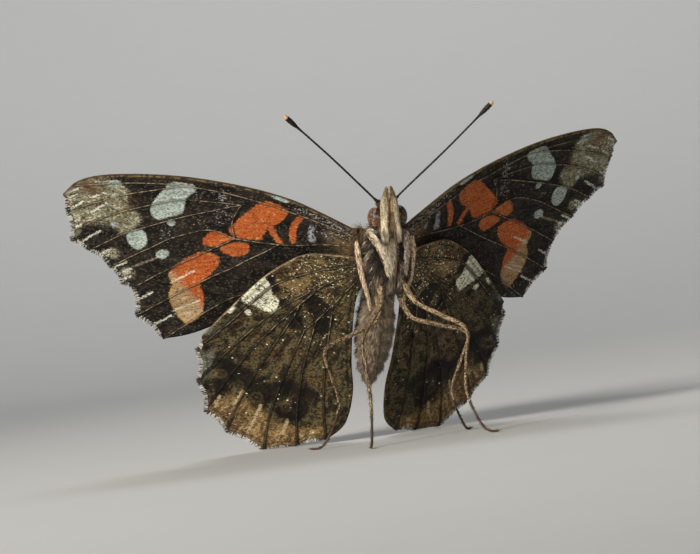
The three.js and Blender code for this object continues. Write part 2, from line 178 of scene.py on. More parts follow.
def runDistance(points, run, closed=False):
    ends = np.vstack([run, run[:1]]) if closed else run
    nearest = np.full(len(points), 1e9)
    for a, b in zip(ends, ends[1:]):
        chord = b - a
        share = np.clip((points - a) @ chord / max(chord @ chord, 1e-12), 0, 1)
        nearest = np.minimum(nearest, np.linalg.norm(points - a - share[:, None] * chord, axis=1))
    return nearest


def insideRun(points, loop):
    inside = np.zeros(len(points), bool)
    for a, b in zip(loop, np.roll(loop, -1, axis=0)):
        if a[1] == b[1]:
            continue
        crosses = (a[1] > points[:, 1]) != (b[1] > points[:, 1])
        inside ^= crosses & (points[:, 0] < (b[0] - a[0]) * (points[:, 1] - a[1]) / (b[1] - a[1]) + a[0])
    return inside


def depthInside(points, loops):
    deepest = np.full(len(points), -1e9)
    for places in loops:
        loop = smoothLine(places, 0.25, closed=True)[:-1]
        distance = runDistance(points, loop, closed=True)
        deepest = np.maximum(deepest, np.where(insideRun(points, loop), distance, -distance))
    return deepest


# Soft random lumps from -1 to 1, of about the given size along each direction.
def lumps(points, size, seed, waves=9):
    rng = np.random.default_rng(seed)
    scaledPoints = points / np.asarray(size, float)
    total = np.zeros(len(points))
    for _ in range(waves):
        heading = unit(rng.normal(size=(1, points.shape[1])))[0] * rng.uniform(2.2, 4.5)
        total += np.cos(scaledPoints @ heading + rng.uniform(0, 2 * math.pi))
    return np.clip(total / math.sqrt(waves), -1, 1)


def softSpots(points, spots):
    total = np.zeros(len(points))
    for out, fore, reach, strength in spots:
        total += strength * np.exp(-((points[:, 0] - out) ** 2 + (points[:, 1] - fore) ** 2) / reach**2)
    return total


# Meshes
def newMesh(name, verts, tris, smooth=True):
    mesh = bpy.data.meshes.new(name)
    mesh.vertices.add(len(verts))
    mesh.vertices.foreach_set("co", np.asarray(verts, np.float32).ravel())
    mesh.loops.add(len(tris) * 3)
    mesh.loops.foreach_set("vertex_index", np.asarray(tris, np.int32).ravel())
    mesh.polygons.add(len(tris))
    mesh.polygons.foreach_set("loop_start", np.arange(0, len(tris) * 3, 3, dtype=np.int32))
    mesh.polygons.foreach_set("use_smooth", np.full(len(tris), smooth, bool))
    mesh.update(calc_edges=True)
    return mesh


def newPiece(mesh, material, slot, *replaced):
    piece = newObject(mesh.name, mesh)
    for each in material if isinstance(material, list) else [material]:
        mesh.materials.append(each)
    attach(piece, "root")
    if replaced:
        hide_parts(*replaced)
    return piece


def keepField(mesh, name, values):
    kind = "FLOAT" if np.ndim(values) == 1 else "FLOAT_VECTOR"
    layer = mesh.attributes.new(name, kind, "POINT")
    layer.data.foreach_set("value" if kind == "FLOAT" else "vector", np.asarray(values, np.float32).ravel())


# Either one tint for each vertex, or a single one for the whole mesh.
def keepTint(mesh, tints):
    layer = mesh.attributes.new("tint", "FLOAT_COLOR", "POINT")
    rgba = np.ones((len(mesh.vertices), 4))
    rgba[:, :3] = tints
    layer.data.foreach_set("color", rgba.astype(np.float32).ravel())


def keepUnwrap(mesh, places):
    corners = np.zeros(len(mesh.loops), np.int32)
    mesh.loops.foreach_get("vertex_index", corners)
    layer = mesh.uv_layers.new(name="OFBake")
    layer.data.foreach_set("uv", places[corners].astype(np.float32).ravel())


# Walls between rings: the numbers of each corner and of the next one round.
def walls(rows, sides):
    row, i = np.meshgrid(np.arange(rows - 1), np.arange(sides), indexing="ij")
    return (row * sides + i).ravel(), (row * sides + (i + 1) % sides).ravel()


def closedRings(rings):
    rows, sides = rings.shape[:2]
    verts = np.vstack([rings.reshape(-1, 3), rings[0].mean(0), rings[-1].mean(0)])
    a, b = walls(rows, sides)
    i = np.arange(sides)
    j = (i + 1) % sides
    last = (rows - 1) * sides
    tris = np.vstack([
        np.stack([a, b, a + sides], 1),
        np.stack([b, b + sides, a + sides], 1),
        np.stack([j, i, np.full(sides, rows * sides)], 1),
        np.stack([last + i, last + j, np.full(sides, rows * sides + 1)], 1),
    ])
    return verts, tris


def sweep(path, radii, sides, squash=1.0):
    along = unit(np.gradient(path, axis=0))
    start = np.cross(along[0], (0, 0, 1) if abs(along[0][2]) < 0.9 else (1, 0, 0))
    across = [unit(start)]
    for direction in along[1:]:
        across.append(unit(across[-1] - direction * (across[-1] @ direction)))
    across = np.array(across)
    over = np.cross(along, across)
    turn, radii = around(sides)[None, :, None], radii[:, None, None]
    rings = path[:, None] + across[:, None] * (np.cos(turn) * radii)
    return rings + over[:, None] * (np.sin(turn) * radii * squash)


def jointedPath(joints, count):
    joints = np.asarray(joints, float)
    ends = np.vstack([2 * joints[0] - joints[1], joints, 2 * joints[-1] - joints[-2]])
    rows = []
    for a, b, c, d in zip(ends, ends[1:], ends[2:], ends[3:]):
        t1 = np.linalg.norm(b - a) ** 0.5
        t2 = t1 + np.linalg.norm(c - b) ** 0.5
        t3 = t2 + np.linalg.norm(d - c) ** 0.5
        t = np.linspace(t1, t2, 17)[:-1, None]
        ab = (t1 - t) / t1 * a + t / t1 * b
        bc = (t2 - t) / (t2 - t1) * b + (t - t1) / (t2 - t1) * c
        cd = (t3 - t) / (t3 - t2) * c + (t - t2) / (t3 - t2) * d
        abc = (t2 - t) / t2 * ab + t / t2 * bc
        bcd = (t3 - t) / (t3 - t1) * bc + (t - t1) / (t3 - t1) * cd
        rows.append((t2 - t) / (t2 - t1) * abc + (t - t1) / (t2 - t1) * bcd)
    fine = np.vstack([*rows, joints[-1:]])
    length = np.linalg.norm(np.diff(fine, axis=0), axis=1).sum()
    return evenly(fine, length / (count - 1))[:count]


# Hairs, scales and spines: tapered three-sided blades, all of one piece in one mesh.
bladeForms = {
    "hair": {"shares": (0, 0.5), "breadths": (0.8, 0.8), "depth": 0.75},
    "scale": {"shares": (0, 0.45, 0.85), "breadths": (0.55, 1.0, 0.7), "depth": 0.22},
    "spine": {"shares": (0, 0.35), "breadths": (1.0, 0.75), "depth": 0.85},
}
unwrapSize = 0.002


def blades(name, roots, starts, ends, lengths, widths, facing, tints, unwrap, material, slot, form="hair",
           settle=None):
    spec = bladeForms[form]
    count, rings = len(roots), len(spec["shares"])
    starts, ends = unit(starts), unit(ends)
    verts = np.zeros((count, rings * 3 + 1, 3))
    uvs = np.zeros((count, rings * 3 + 1, 2))
    corners = np.array([[0, 0], [1, 0], [0.5, 0.3]]) * unwrapSize
    for k, (share, breadth) in enumerate(zip(spec["shares"], spec["breadths"])):
        heading = unit(starts * (1 - share) + ends * share)
        across = unit(np.cross(heading, facing))
        over = np.cross(across, heading)
        middle = roots + lengths[:, None] * (starts * (share - share**2 / 2) + ends * share**2 / 2)
        half = (widths * breadth / 2)[:, None]
        verts[:, k * 3] = middle - across * half
        verts[:, k * 3 + 1] = middle + across * half
        verts[:, k * 3 + 2] = middle + over * half * 2 * spec["depth"]
        uvs[:, k * 3:k * 3 + 3] = unwrap[:, None] + corners + share * unwrapSize / 2
    verts[:, -1] = roots + lengths[:, None] * (starts + ends) / 2
    uvs[:, -1] = unwrap + unwrapSize * 1.5
    if settle:
        verts = settle(verts)
    tip = rings * 3
    tris = [(0, 2, 1)]
    for k in range(rings - 1):
        for i in range(3):
            a, b = k * 3 + i, k * 3 + (i + 1) % 3
            tris += [(a, b, b + 3), (a, b + 3, a + 3)]
    tris += [(tip - 3 + i, tip - 3 + (i + 1) % 3, tip) for i in range(3)]
    every = (np.arange(count)[:, None, None] * (tip + 1) + np.array(tris)[None]).reshape(-1, 3)
    mesh = newMesh(name, verts.reshape(-1, 3) * mm, every, smooth=form != "scale")
    keepTint(mesh, np.repeat(tints, tip + 1, axis=0))
    keepUnwrap(mesh, uvs.reshape(-1, 2))
    newPiece(mesh, material, slot)
    print(f"  {name}: {count} blades, {len(every)} triangles")


def scatter(rng, verts, tris, count, grows=None):
    corners = verts[tris]
    normals = np.cross(corners[:, 1] - corners[:, 0], corners[:, 2] - corners[:, 0])
    share = np.linalg.norm(normals, axis=1)
    if grows:
        share = share * grows(corners.mean(1))
    chosen = rng.choice(len(tris), count, p=share / share.sum())
    u, v = rng.random(count), rng.random(count)
    flip = u + v > 1
    u[flip], v[flip] = 1 - u[flip], 1 - v[flip]
    a, b, c = corners[chosen].transpose(1, 0, 2)
    return a + (b - a) * u[:, None] + (c - a) * v[:, None], unit(normals[chosen])


# A finish under construction: each call adds nodes, and lay() puts one more colour over what is there.
class Finish:
    def __init__(self, name, roughness=0.6, specular=0.3):
        self.material = bpy.data.materials.new(name)
        self.material.use_nodes = True
        self.tree = self.material.node_tree
        self.shader = self.tree.nodes["Principled BSDF"]
        self.shader.inputs["Roughness"].default_value = roughness
        self.shader.inputs["Specular IOR Level"].default_value = specular
        self.color = (0.0, 0.0, 0.0)

    def node(self, kind, **settings):
        node = self.tree.nodes.new(kind)
        for key, value in settings.items():
            setattr(node, key, value)
        return node

    # A value is a socket, a number, a vector, a colour or the name of a wing's tone.
    def put(self, socket, value):
        if isinstance(value, str):
            value = wingTones[value]
        if isinstance(value, bpy.types.NodeSocket):
            self.tree.links.new(value, socket)
        elif isinstance(value, tuple) and socket.type == "RGBA":
            socket.default_value = (*value, 1.0)
        else:
            socket.default_value = value

    def fill(self, node, names, *values):
        for name, value in zip(names, values):
            self.put(node.inputs[name], value)

    def calc(self, operation, a, b=0.0):
        node = self.node("ShaderNodeMath", operation=operation)
        self.fill(node, (0, 1), a, b)
        return node.outputs[0]

    def times(self, first, *others):
        for other in others:
            first = self.calc("MULTIPLY", first, other)
        return first

    def plus(self, first, *others):
        for other in others:
            first = self.calc("ADD", first, other)
        return first

    def step(self, value, low, high, first=0.0, last=1.0):
        node = self.node("ShaderNodeMapRange", interpolation_type="SMOOTHSTEP")
        self.fill(node, ("Value", "From Min", "From Max", "To Min", "To Max"), value, low, high, first, last)
        return node.outputs["Result"]

    def field(self, name, output="Fac"):
        return self.node("ShaderNodeAttribute", attribute_name=name).outputs[output]

    def here(self):
        return self.node("ShaderNodeTexCoord").outputs["Object"]

    def stretched(self, vector, factors):
        node = self.node("ShaderNodeVectorMath", operation="MULTIPLY")
        self.fill(node, (0, 1), vector, factors)
        return node.outputs[0]

    def noise(self, vector, scale, detail=3.0, roughness=0.55):
        node = self.node("ShaderNodeTexNoise")
        self.fill(node, ("Vector", "Scale", "Detail", "Roughness"), vector, scale, detail, roughness)
        return node.outputs["Fac"]

    # Cells give the distance from their middles, and two random shares for each cell.
    def cells(self, vector, scale):
        node = self.node("ShaderNodeTexVoronoi")
        self.fill(node, ("Vector", "Scale"), vector, scale)
        split = self.node("ShaderNodeSeparateColor")
        self.put(split.inputs[0], node.outputs["Color"])
        return node.outputs["Distance"], split.outputs[0], split.outputs[1]

    def mix(self, first, second, share, blend="MIX"):
        node = self.node("ShaderNodeMix", data_type="RGBA", blend_type=blend)
        self.fill(node, (0, 6, 7), share, first, second)
        return node.outputs[2]

    def lay(self, tone, mask, amount=1.0):
        share = mask if amount == 1.0 else self.times(mask, amount)
        self.color = self.mix(self.color, tone, share)

    def bump(self, height, strength, distance):
        node = self.node("ShaderNodeBump")
        self.fill(node, ("Strength", "Distance", "Height"), strength, distance, height)
        self.put(self.shader.inputs["Normal"], node.outputs["Normal"])

    def done(self):
        self.put(self.shader.inputs["Base Color"], self.color)
        return self.material


# Wings. A place on a wing is (out, fore) in millimetres: out from the root and forward, in the wing's plane.
forewing = {
    "costa": [
        (-1.0, 0.7), (3.5, 2.75), (7.4, 4.25), (12.5, 5.3),
        (19.0, 5.85), (25.5, 5.5), (29.0, 4.55), (30.8, 2.7),
    ],
    "tips": [
        (30.5, 0.8), (29.9, -3.0), (28.0, -3.95), (25.7, -5.75), (23.15, -8.2), (22.7, -11.8), (19.5, -14.5),
    ],
    "inner": [(16.0, -13.3), (10.5, -9.9), (5.0, -6.0), (1.0, -3.6), (-1.0, -2.6)],
    "veins": [
        [(-0.6, 0.3), (6, 2.5), (12, 4.1), (18, 4.9), (24, 4.75), (30.2, 3.9)],
        [(18, 4.9), (24, 3.4), (30.5, 0.8)],
        [(12.2, 3.1), (17.6, 3.25), (21.4, 2.4), (26.4, 0.4), (30.1, -1.9)],
        [(12.2, 3.1), (16.9, 1.6), (23.9, -1.3), (28.0, -3.95)],
        [(12.6, -1.05), (15.5, -0.2), (19.3, -1.6), (21.8, -3.2), (25.7, -5.75)],
        [(12.6, -1.05), (18.6, -4.9), (23.15, -8.2)],
        [(-0.6, -0.5), (3.3, -0.85), (7.9, -1.3), (12.6, -1.05)],
        [(7.9, -1.3), (12.0, -4.2), (17.7, -8.0), (22.7, -11.8)],
        [(-0.6, -1.2), (4.0, -3.6), (9.0, -6.6), (13.8, -9.4), (19.5, -14.5)],
        [(12.2, 3.1), (13.0, 1.0), (12.6, -1.05)],
    ],
    "scallop": 0.3,
    "drop": 0.0,
    "root": (-2.0, 0.0),   # where its veins and grain spread from
}
nickedForewing = {**forewing, "tips": forewing["tips"][:4] + [(24.3, -8.0)] + forewing["tips"][4:]}

hindwing = {
    "costa": [
        (-1.1, -1.5), (1.8, -1.35), (5.0, -1.65), (7.3, -3.1), (9.6, -5.3), (12.9, -9.6), (15.3, -13.0),
    ],
    "tips": [
        (15.95, -14.8), (15.55, -19.0), (14.5, -22.9), (12.0, -25.4), (7.65, -27.85), (3.9, -26.9),
        (0.9, -25.2),
    ],
    "inner": [(-1.0, -22.8), (-1.5, -18.6), (-1.0, -14.6), (-0.75, -10.0), (-0.8, -6.6), (-1.4, -4.6)],
    "veins": [
        [(-0.6, -2.2), (3.0, -3.2), (7.3, -5.1), (9.7, -7.4), (12.6, -11.0), (15.95, -14.8)],
        [(-0.8, -3.0), (2.4, -4.8), (5.2, -7.8)],
        [(2.4, -4.8), (7.6, -8.8), (12.0, -14.0), (15.55, -19.0)],
        [(5.2, -7.8), (9.2, -13.0), (12.3, -18.3), (14.5, -22.9)],
        [(5.2, -7.8), (5.7, -9.4), (8.4, -15.2), (10.6, -20.5), (12.0, -25.4)],
        [(-0.6, -4.2), (1.6, -7.4), (3.2, -9.6), (4.4, -11.0)],
        [(5.7, -9.4), (4.4, -11.0)],
        [(4.4, -11.0), (6.1, -17.0), (7.3, -22.5), (7.65, -27.85)],
        [(3.2, -9.6), (4.1, -15.5), (4.4, -21.5), (3.9, -26.9)],
        [(1.6, -7.4), (1.8, -14.0), (1.6, -20.0), (0.9, -25.2)],
    ],
    "scallop": 0.4,
    "drop": stance["hindwingDrop"],
    "root": (-1.0, -2.0),
}

wingBuild = {
    "edgeStep": 0.22,
    "veinStep": 0.24,
    "fieldStep": 0.3,
    "halfThickness": 0.12,
    "edgeThickness": 0.035,
    "veinRise": 0.13,
    "veinWidth": 0.13,
    "pleat": 0.09,         # how far the cells dip between the veins
    "costaRise": 0.09,
    "fringe": 0.5,         # length of the fringe, inside the wing's outline
    "fringeGap": 0.028,    # from one of its scales to the next
    "wave": 0.06,          # height of the soft lumps in the blade
}


def wingEdge(wing, inset):
    first = wing["costa"][-1]
    ends = np.array([first, *wing["tips"]], float)
    edge = [smoothLine(wing["costa"], wingBuild["edgeStep"])]
    margin, normals = [], []
    total = np.linalg.norm(np.diff(ends, axis=0), axis=1).sum()
    done = 0.0
    for a, b in zip(ends, ends[1:]):
        chord = b - a
        length = np.linalg.norm(chord)
        inward = np.array([chord[1], -chord[0]]) / length
        steps = max(2, round(length / wingBuild["edgeStep"]))
        share = np.arange(1, steps + 1) / steps
        hollow = wing["scallop"] * min(1, length / 3) * np.sin(share * math.pi)
        along = done + share * length
        taper = ease(0, 1.5, along) * ease(0, 1.5, total - along)
        wearAndRimHighlight = 0.03 * np.sin(along * 9.1) + 0.025 * np.sin(along * 17.3 + 1)
        depth = hollow + (inset + wearAndRimHighlight) * taper
        margin.append(a + chord * share[:, None] + inward * depth[:, None])
        slope = wing["scallop"] * min(1, length / 3) * np.cos(share * math.pi) * math.pi / length
        normals.append(unit(chord / length * slope[:, None] - inward))
        done += length
    edge.append(np.vstack(margin))
    edge.append(smoothLine([wing["tips"][-1], *wing["inner"]], wingBuild["edgeStep"] * 1.4)[1:])
    return np.vstack(edge), len(edge[0]), np.vstack(margin), np.vstack(normals)


def wingPoints(wing, edge, veins, streaks):
    points, taken = [], set()

    def offer(candidates, gap):
        for x, y in candidates:
            cell = (round(x / gap), round(y / gap))
            if cell not in taken:
                taken.add(cell)
                points.append((x, y))

    for vein in veins:
        heading = unit(np.gradient(vein, axis=0))
        side = np.stack([-heading[:, 1], heading[:, 0]], 1)
        for offset in (0, -0.1, 0.1, -0.22, 0.22, -0.4, 0.4):
            offer(vein + side * offset, 0.07)
    for streak in streaks:
        along = unit(streak[-1:] - streak[:1])
        across = np.array([-along[0, 1], along[0, 0]])
        longer = np.vstack([streak[:1] - along * 0.14, streak, streak[-1:] + along * 0.14])
        for offset in (0, -0.13, 0.13, -0.28, 0.28):
            offer(longer + across * offset, 0.07)
    points = np.array(points)
    step = wingBuild["fieldStep"]
    low, high = edge.min(0), edge.max(0)
    out, fore = np.meshgrid(np.arange(low[0], high[0], step), np.arange(low[1], high[1], step * 0.866))
    out[1::2] += step / 2
    grid = np.stack([out.ravel(), fore.ravel()], 1)
    fromVeins = np.min([runDistance(grid, line) for line in veins + streaks], axis=0)
    points = np.vstack([points, grid[fromVeins > 0.5]])
    clear = insideRun(points, edge) & (runDistance(points, edge, closed=True) > 0.1)
    return points[clear]


def wingShape(wing, side, streaks):
    edge, costaCount, margin, normals = wingEdge(wing, wingBuild["fringe"] * 0.8)
    veins = [smoothLine(places, wingBuild["veinStep"]) for places in wing["veins"]]
    streaks = [evenly(np.array(run), wingBuild["veinStep"]) for run in streaks]
    points = np.vstack([edge, wingPoints(wing, edge, veins, streaks)])
    count = len(edge)
    loop = [(i, (i + 1) % count) for i in range(count)]
    found = delaunay_2d_cdt([Vector(p) for p in points], loop, [], 1, 1e-5, False)
    places = np.array([tuple(v) for v in found[0]])
    sheet = np.array([f[:3] for f in found[2]])
    sheet = sheet[insideRun(places[sheet].mean(1), edge)]
    byVein = np.sort([runDistance(places, vein) for vein in veins], axis=0)
    fromVein = byVein[0]
    fromFold = byVein[1] - byVein[0] + 0.4 * np.exp(-byVein[0])
    fromEdge = runDistance(places, edge, closed=True)
    fromCosta = runDistance(places, edge[:costaCount])
    body = wingBuild
    half = body["edgeThickness"] + (body["halfThickness"] - body["edgeThickness"]) * ease(0, 0.6, fromEdge)
    half = half + body["veinRise"] * np.exp(-((fromVein / body["veinWidth"]) ** 2))
    half = half + body["costaRise"] * np.exp(-((fromCosta / 0.4) ** 2)) * ease(-0.4, 0.1, places[:, 0])
    out, fore = places.T
    bow = -stance["wingBow"] * (np.maximum(out, 0) / stance["forewingLength"]) ** 2
    dip = body["pleat"] * (np.exp(-((fromVein / 0.9) ** 2)) - 0.5)
    wave = body["wave"] * lumps(places, (2.6, 1.3), 12 + side)
    middle = bow - wing["drop"] - (dip + wave) * ease(0.1, 1.0, fromEdge)
    verts = np.vstack([
        wingToBody(side, out, fore, middle + half),
        wingToBody(side, out, fore, middle - half),
    ])
    size = len(places)
    edges = np.vstack([sheet[:, [0, 1]], sheet[:, [1, 2]], sheet[:, [2, 0]]])
    present = set(map(tuple, edges))
    rim = np.array([(a, b) for a, b in present if (b, a) not in present])
    tris = np.vstack([
        sheet,
        sheet[:, ::-1] + size,
        np.stack([rim[:, 1], rim[:, 0], rim[:, 0] + size], 1),
        np.stack([rim[:, 1], rim[:, 0] + size, rim[:, 1] + size], 1),
    ])
    if side < 0:
        tris = tris[:, ::-1]
    kinds = np.zeros(len(tris), np.int32)
    kinds[len(sheet):] = 1
    return {
        "verts": verts, "tris": tris, "kinds": kinds, "places": places,
        "fromVein": fromVein, "fromFold": fromFold, "fromEdge": fromEdge, "fromCosta": fromCosta,
        "margin": margin, "normals": normals,
    }


# Marks of the underside and the upper side, as outlines and soft spots.
forewingUnderMarks = {
    "red": [
        [
            (10.34, 3.47), (9.49, 3.85), (7.95, 3.3), (7.26, 2.85), (7.62, 1.85), (8.2, 1.1), (9.2, 0.5),
            (9.6, -0.4), (9.9, -1.0), (11.2, -1.0), (12.37, -0.95), (13.26, -0.04), (12.71, 0.9), (11.5, 2.3),
        ],
        [(9.3, 0.6), (8.55, 0.55), (8.1, -0.3), (7.5, -1.0), (7.75, -1.25), (8.45, -0.75)],
        [
            (6.1, 2.4), (5.6, 2.1), (5.98, 1.34), (6.2, 0.4), (6.15, -0.7), (6.6, -0.95), (6.95, 0.33),
            (6.66, 1.5),
        ],
        [
            (15.99, -1.8), (15.29, -0.6), (14.42, -0.3), (13.4, -0.65), (12.81, -1.15), (13.66, -1.64),
            (15.06, -2.3),
        ],
        [
            (14.1, -2.4), (12.89, -1.65), (12.0, -1.5), (11.1, -1.7), (11.1, -2.6), (11.9, -3.25),
            (13.12, -3.2),
        ],
        [
            (16.14, -3.05), (15.14, -3.0), (14.2, -3.5), (14.05, -4.4), (14.87, -5.7), (15.9, -7.0),
            (15.6, -8.04), (15.36, -9.8), (15.8, -11.3), (17.0, -12.15), (18.06, -11.4), (18.9, -9.85),
            (19.15, -8.6), (18.95, -7.4), (19.34, -6.15), (18.7, -5.0), (17.6, -4.0),
        ],
    ],
    "white": [
        [
            (19.6, 5.15), (18.3, 5.2), (17.1, 5.0), (17.16, 4.2), (17.97, 3.3), (18.24, 1.6), (19.45, 1.0),
            (20.9, 0.5), (21.65, 1.5), (21.3, 2.87), (20.3, 4.3),
        ],
        [(19.3, 0.75), (18.9, 0.2), (19.4, -0.25), (19.85, 0.3)],
        [(24.0, -1.7), (23.45, -1.0), (22.5, -0.8), (21.9, -1.5), (21.85, -2.6), (22.7, -3.4), (23.6, -2.9)],
        [(20.85, -3.75), (20.25, -3.1), (19.4, -3.35), (19.65, -4.1), (20.4, -4.3)],
        [(9.2, 4.4), (8.5, 4.6), (7.25, 4.1), (7.5, 3.8), (8.4, 4.05)],
        [(26.3, 4.7), (25.2, 4.95), (24.7, 4.5), (25.2, 4.1), (25.9, 4.2)],
        [(26.15, 1.9), (25.9, 2.15), (25.65, 1.9), (25.9, 1.65)],
        [(25.75, -0.5), (25.35, -0.1), (24.95, -0.5), (25.35, -0.9)],
    ],
    "lilac": [
        [(4.85, 1.3), (4.3, 1.1), (4.4, 0.35), (4.0, -0.5), (4.85, -0.6), (4.95, 0.6)],
        [(3.4, 0.7), (3.1, 0.5), (2.7, -0.1), (3.0, -0.1)],
    ],
    "apex": [
        (28.6, 3.0, 2.6, 1.0), (27.0, 2.4, 2.0, 0.9), (26.0, 1.0, 1.6, 0.8), (24.2, 0.4, 1.2, 0.8),
        (25.2, 3.2, 1.3, 0.8), (29.2, 0.6, 1.3, 0.8), (23.4, 0.3, 0.9, 0.7), (24.3, -1.1, 0.8, 0.6),
        (25.3, -4.0, 0.8, 0.9), (23.7, -6.4, 0.9, 0.9), (29.6, -1.6, 0.8, 0.8), (22.4, -11.0, 0.6, 0.5),
    ],
    "rust": [(28.3, 4.1, 0.9, 1.0), (27.2, 3.3, 0.8, 0.8), (24.0, 1.6, 0.7, 0.7), (23.0, 2.6, 0.8, 0.6)],
    "pale": [
        (30.4, 3.2, 0.6, 1.0), (30.4, 1.6, 0.6, 1.0), (29.2, 0.2, 0.5, 0.9), (30.0, -1.1, 0.5, 1.0),
        (28.0, 0.9, 0.7, 0.6), (26.2, -4.0, 0.5, 0.9), (23.8, -6.2, 0.6, 1.0), (24.2, -7.3, 0.5, 1.0),
        (25.4, 2.9, 0.6, 0.8), (25.2, 4.3, 0.8, 0.8), (22.9, -10.8, 0.4, 0.8), (21.2, -12.9, 0.5, 0.9),
        (20.1, -13.9, 0.5, 0.7), (24.2, 2.6, 0.4, 0.6),
    ],
    "streaks": [
        [(26.67, -4.38), (25.51, -3.46)], [(26.35, -4.74), (25.62, -4.08)], [(24.67, -6.57), (23.32, -5.73)],
        [(25.13, -5.75), (23.84, -4.95)], [(24.39, -7.5), (23.28, -6.75)], [(29.97, 1.09), (28.63, 2.08)],
        [(30.24, -0.94), (28.83, 0.0)], [(30.1, -1.64), (28.75, -0.78)], [(29.44, -3.61), (28.09, -2.41)],
        [(28.09, -2.36), (26.75, -1.4)], [(22.8, -9.98), (20.96, -8.6)], [(20.8, -12.85), (18.83, -11.45)],
        [(30.69, 2.78), (29.28, 3.56)], [(30.6, 2.2), (29.3, 2.85)], [(21.17, -13.01), (19.87, -13.92)],
        [(27.9, 2.6), (26.3, 3.3)], [(27.2, 1.4), (26.1, 2.1)], [(28.2, 0.7), (26.9, 1.3)],
        [(25.75, 4.63), (24.6, 4.1)],
    ],
    # pale lines painted as highlights along folds in the red and buff
    "folds": [
        [(19.06, -7.15), (16.69, -5.56)], [(18.72, -10.88), (15.9, -9.17)], [(23.26, -5.62), (20.68, -4.23)],
    ],
    "dust": [
        (14.2, 4.2, 0.7, 0.9), (13.9, 3.4, 0.6, 0.9), (14.1, 2.1, 0.8, 0.8), (14.4, 0.8, 0.7, 0.4),
        (16.6, 3.8, 0.5, 0.4), (16.2, 0.2, 1.0, 0.2), (20.0, -1.2, 0.8, 0.25), (3.1, 1.9, 0.9, 1.0),
        (2.0, 1.4, 0.9, 1.0), (0.8, 0.8, 0.9, 1.0), (4.6, 2.7, 0.9, 1.0), (6.0, 3.4, 0.7, 0.8),
        (17.0, -12.9, 1.5, 0.22),
    ],
    "gold": [
        (1.9, -0.3, 0.9, 1.0), (0.7, -0.8, 0.8, 1.0), (2.7, 0.5, 0.6, 0.6), (0.6, -1.9, 0.8, 0.8),
    ],
}

forewingUpperMarks = {
    "red": [
        [
            (9.8, 3.7), (12.0, 3.2), (13.3, 1.6), (15.4, 0.2), (17.3, -2.0), (19.4, -5.2), (20.9, -8.4),
            (21.3, -11.6), (20.0, -13.0), (18.7, -12.0), (17.4, -9.6), (15.2, -6.6), (13.0, -4.3),
            (10.8, -2.4), (9.0, 0.2), (8.2, 2.2),
        ],
    ],
    "white": [
        *forewingUnderMarks["white"][:4],
        [(25.9, 4.6), (25.2, 4.75), (24.9, 4.3), (25.3, 3.9), (25.8, 4.0)],
        [(26.15, 1.9), (25.9, 2.15), (25.65, 1.9), (25.9, 1.65)],
        [(25.65, -0.5), (25.35, -0.2), (25.05, -0.5), (25.35, -0.8)],
    ],
    "rust": [(3.0, 0.0, 4.0, 0.9), (6.0, -3.0, 4.5, 0.8), (11.0, -7.5, 3.5, 0.5)],
    "dust": [(27.8, 1.6, 1.0, 0.5), (28.2, -1.2, 0.9, 0.5), (26.4, -3.2, 0.8, 0.4)],
    "gold": [(1.2, -0.6, 1.8, 0.7), (2.6, -2.0, 1.8, 0.5)],
}

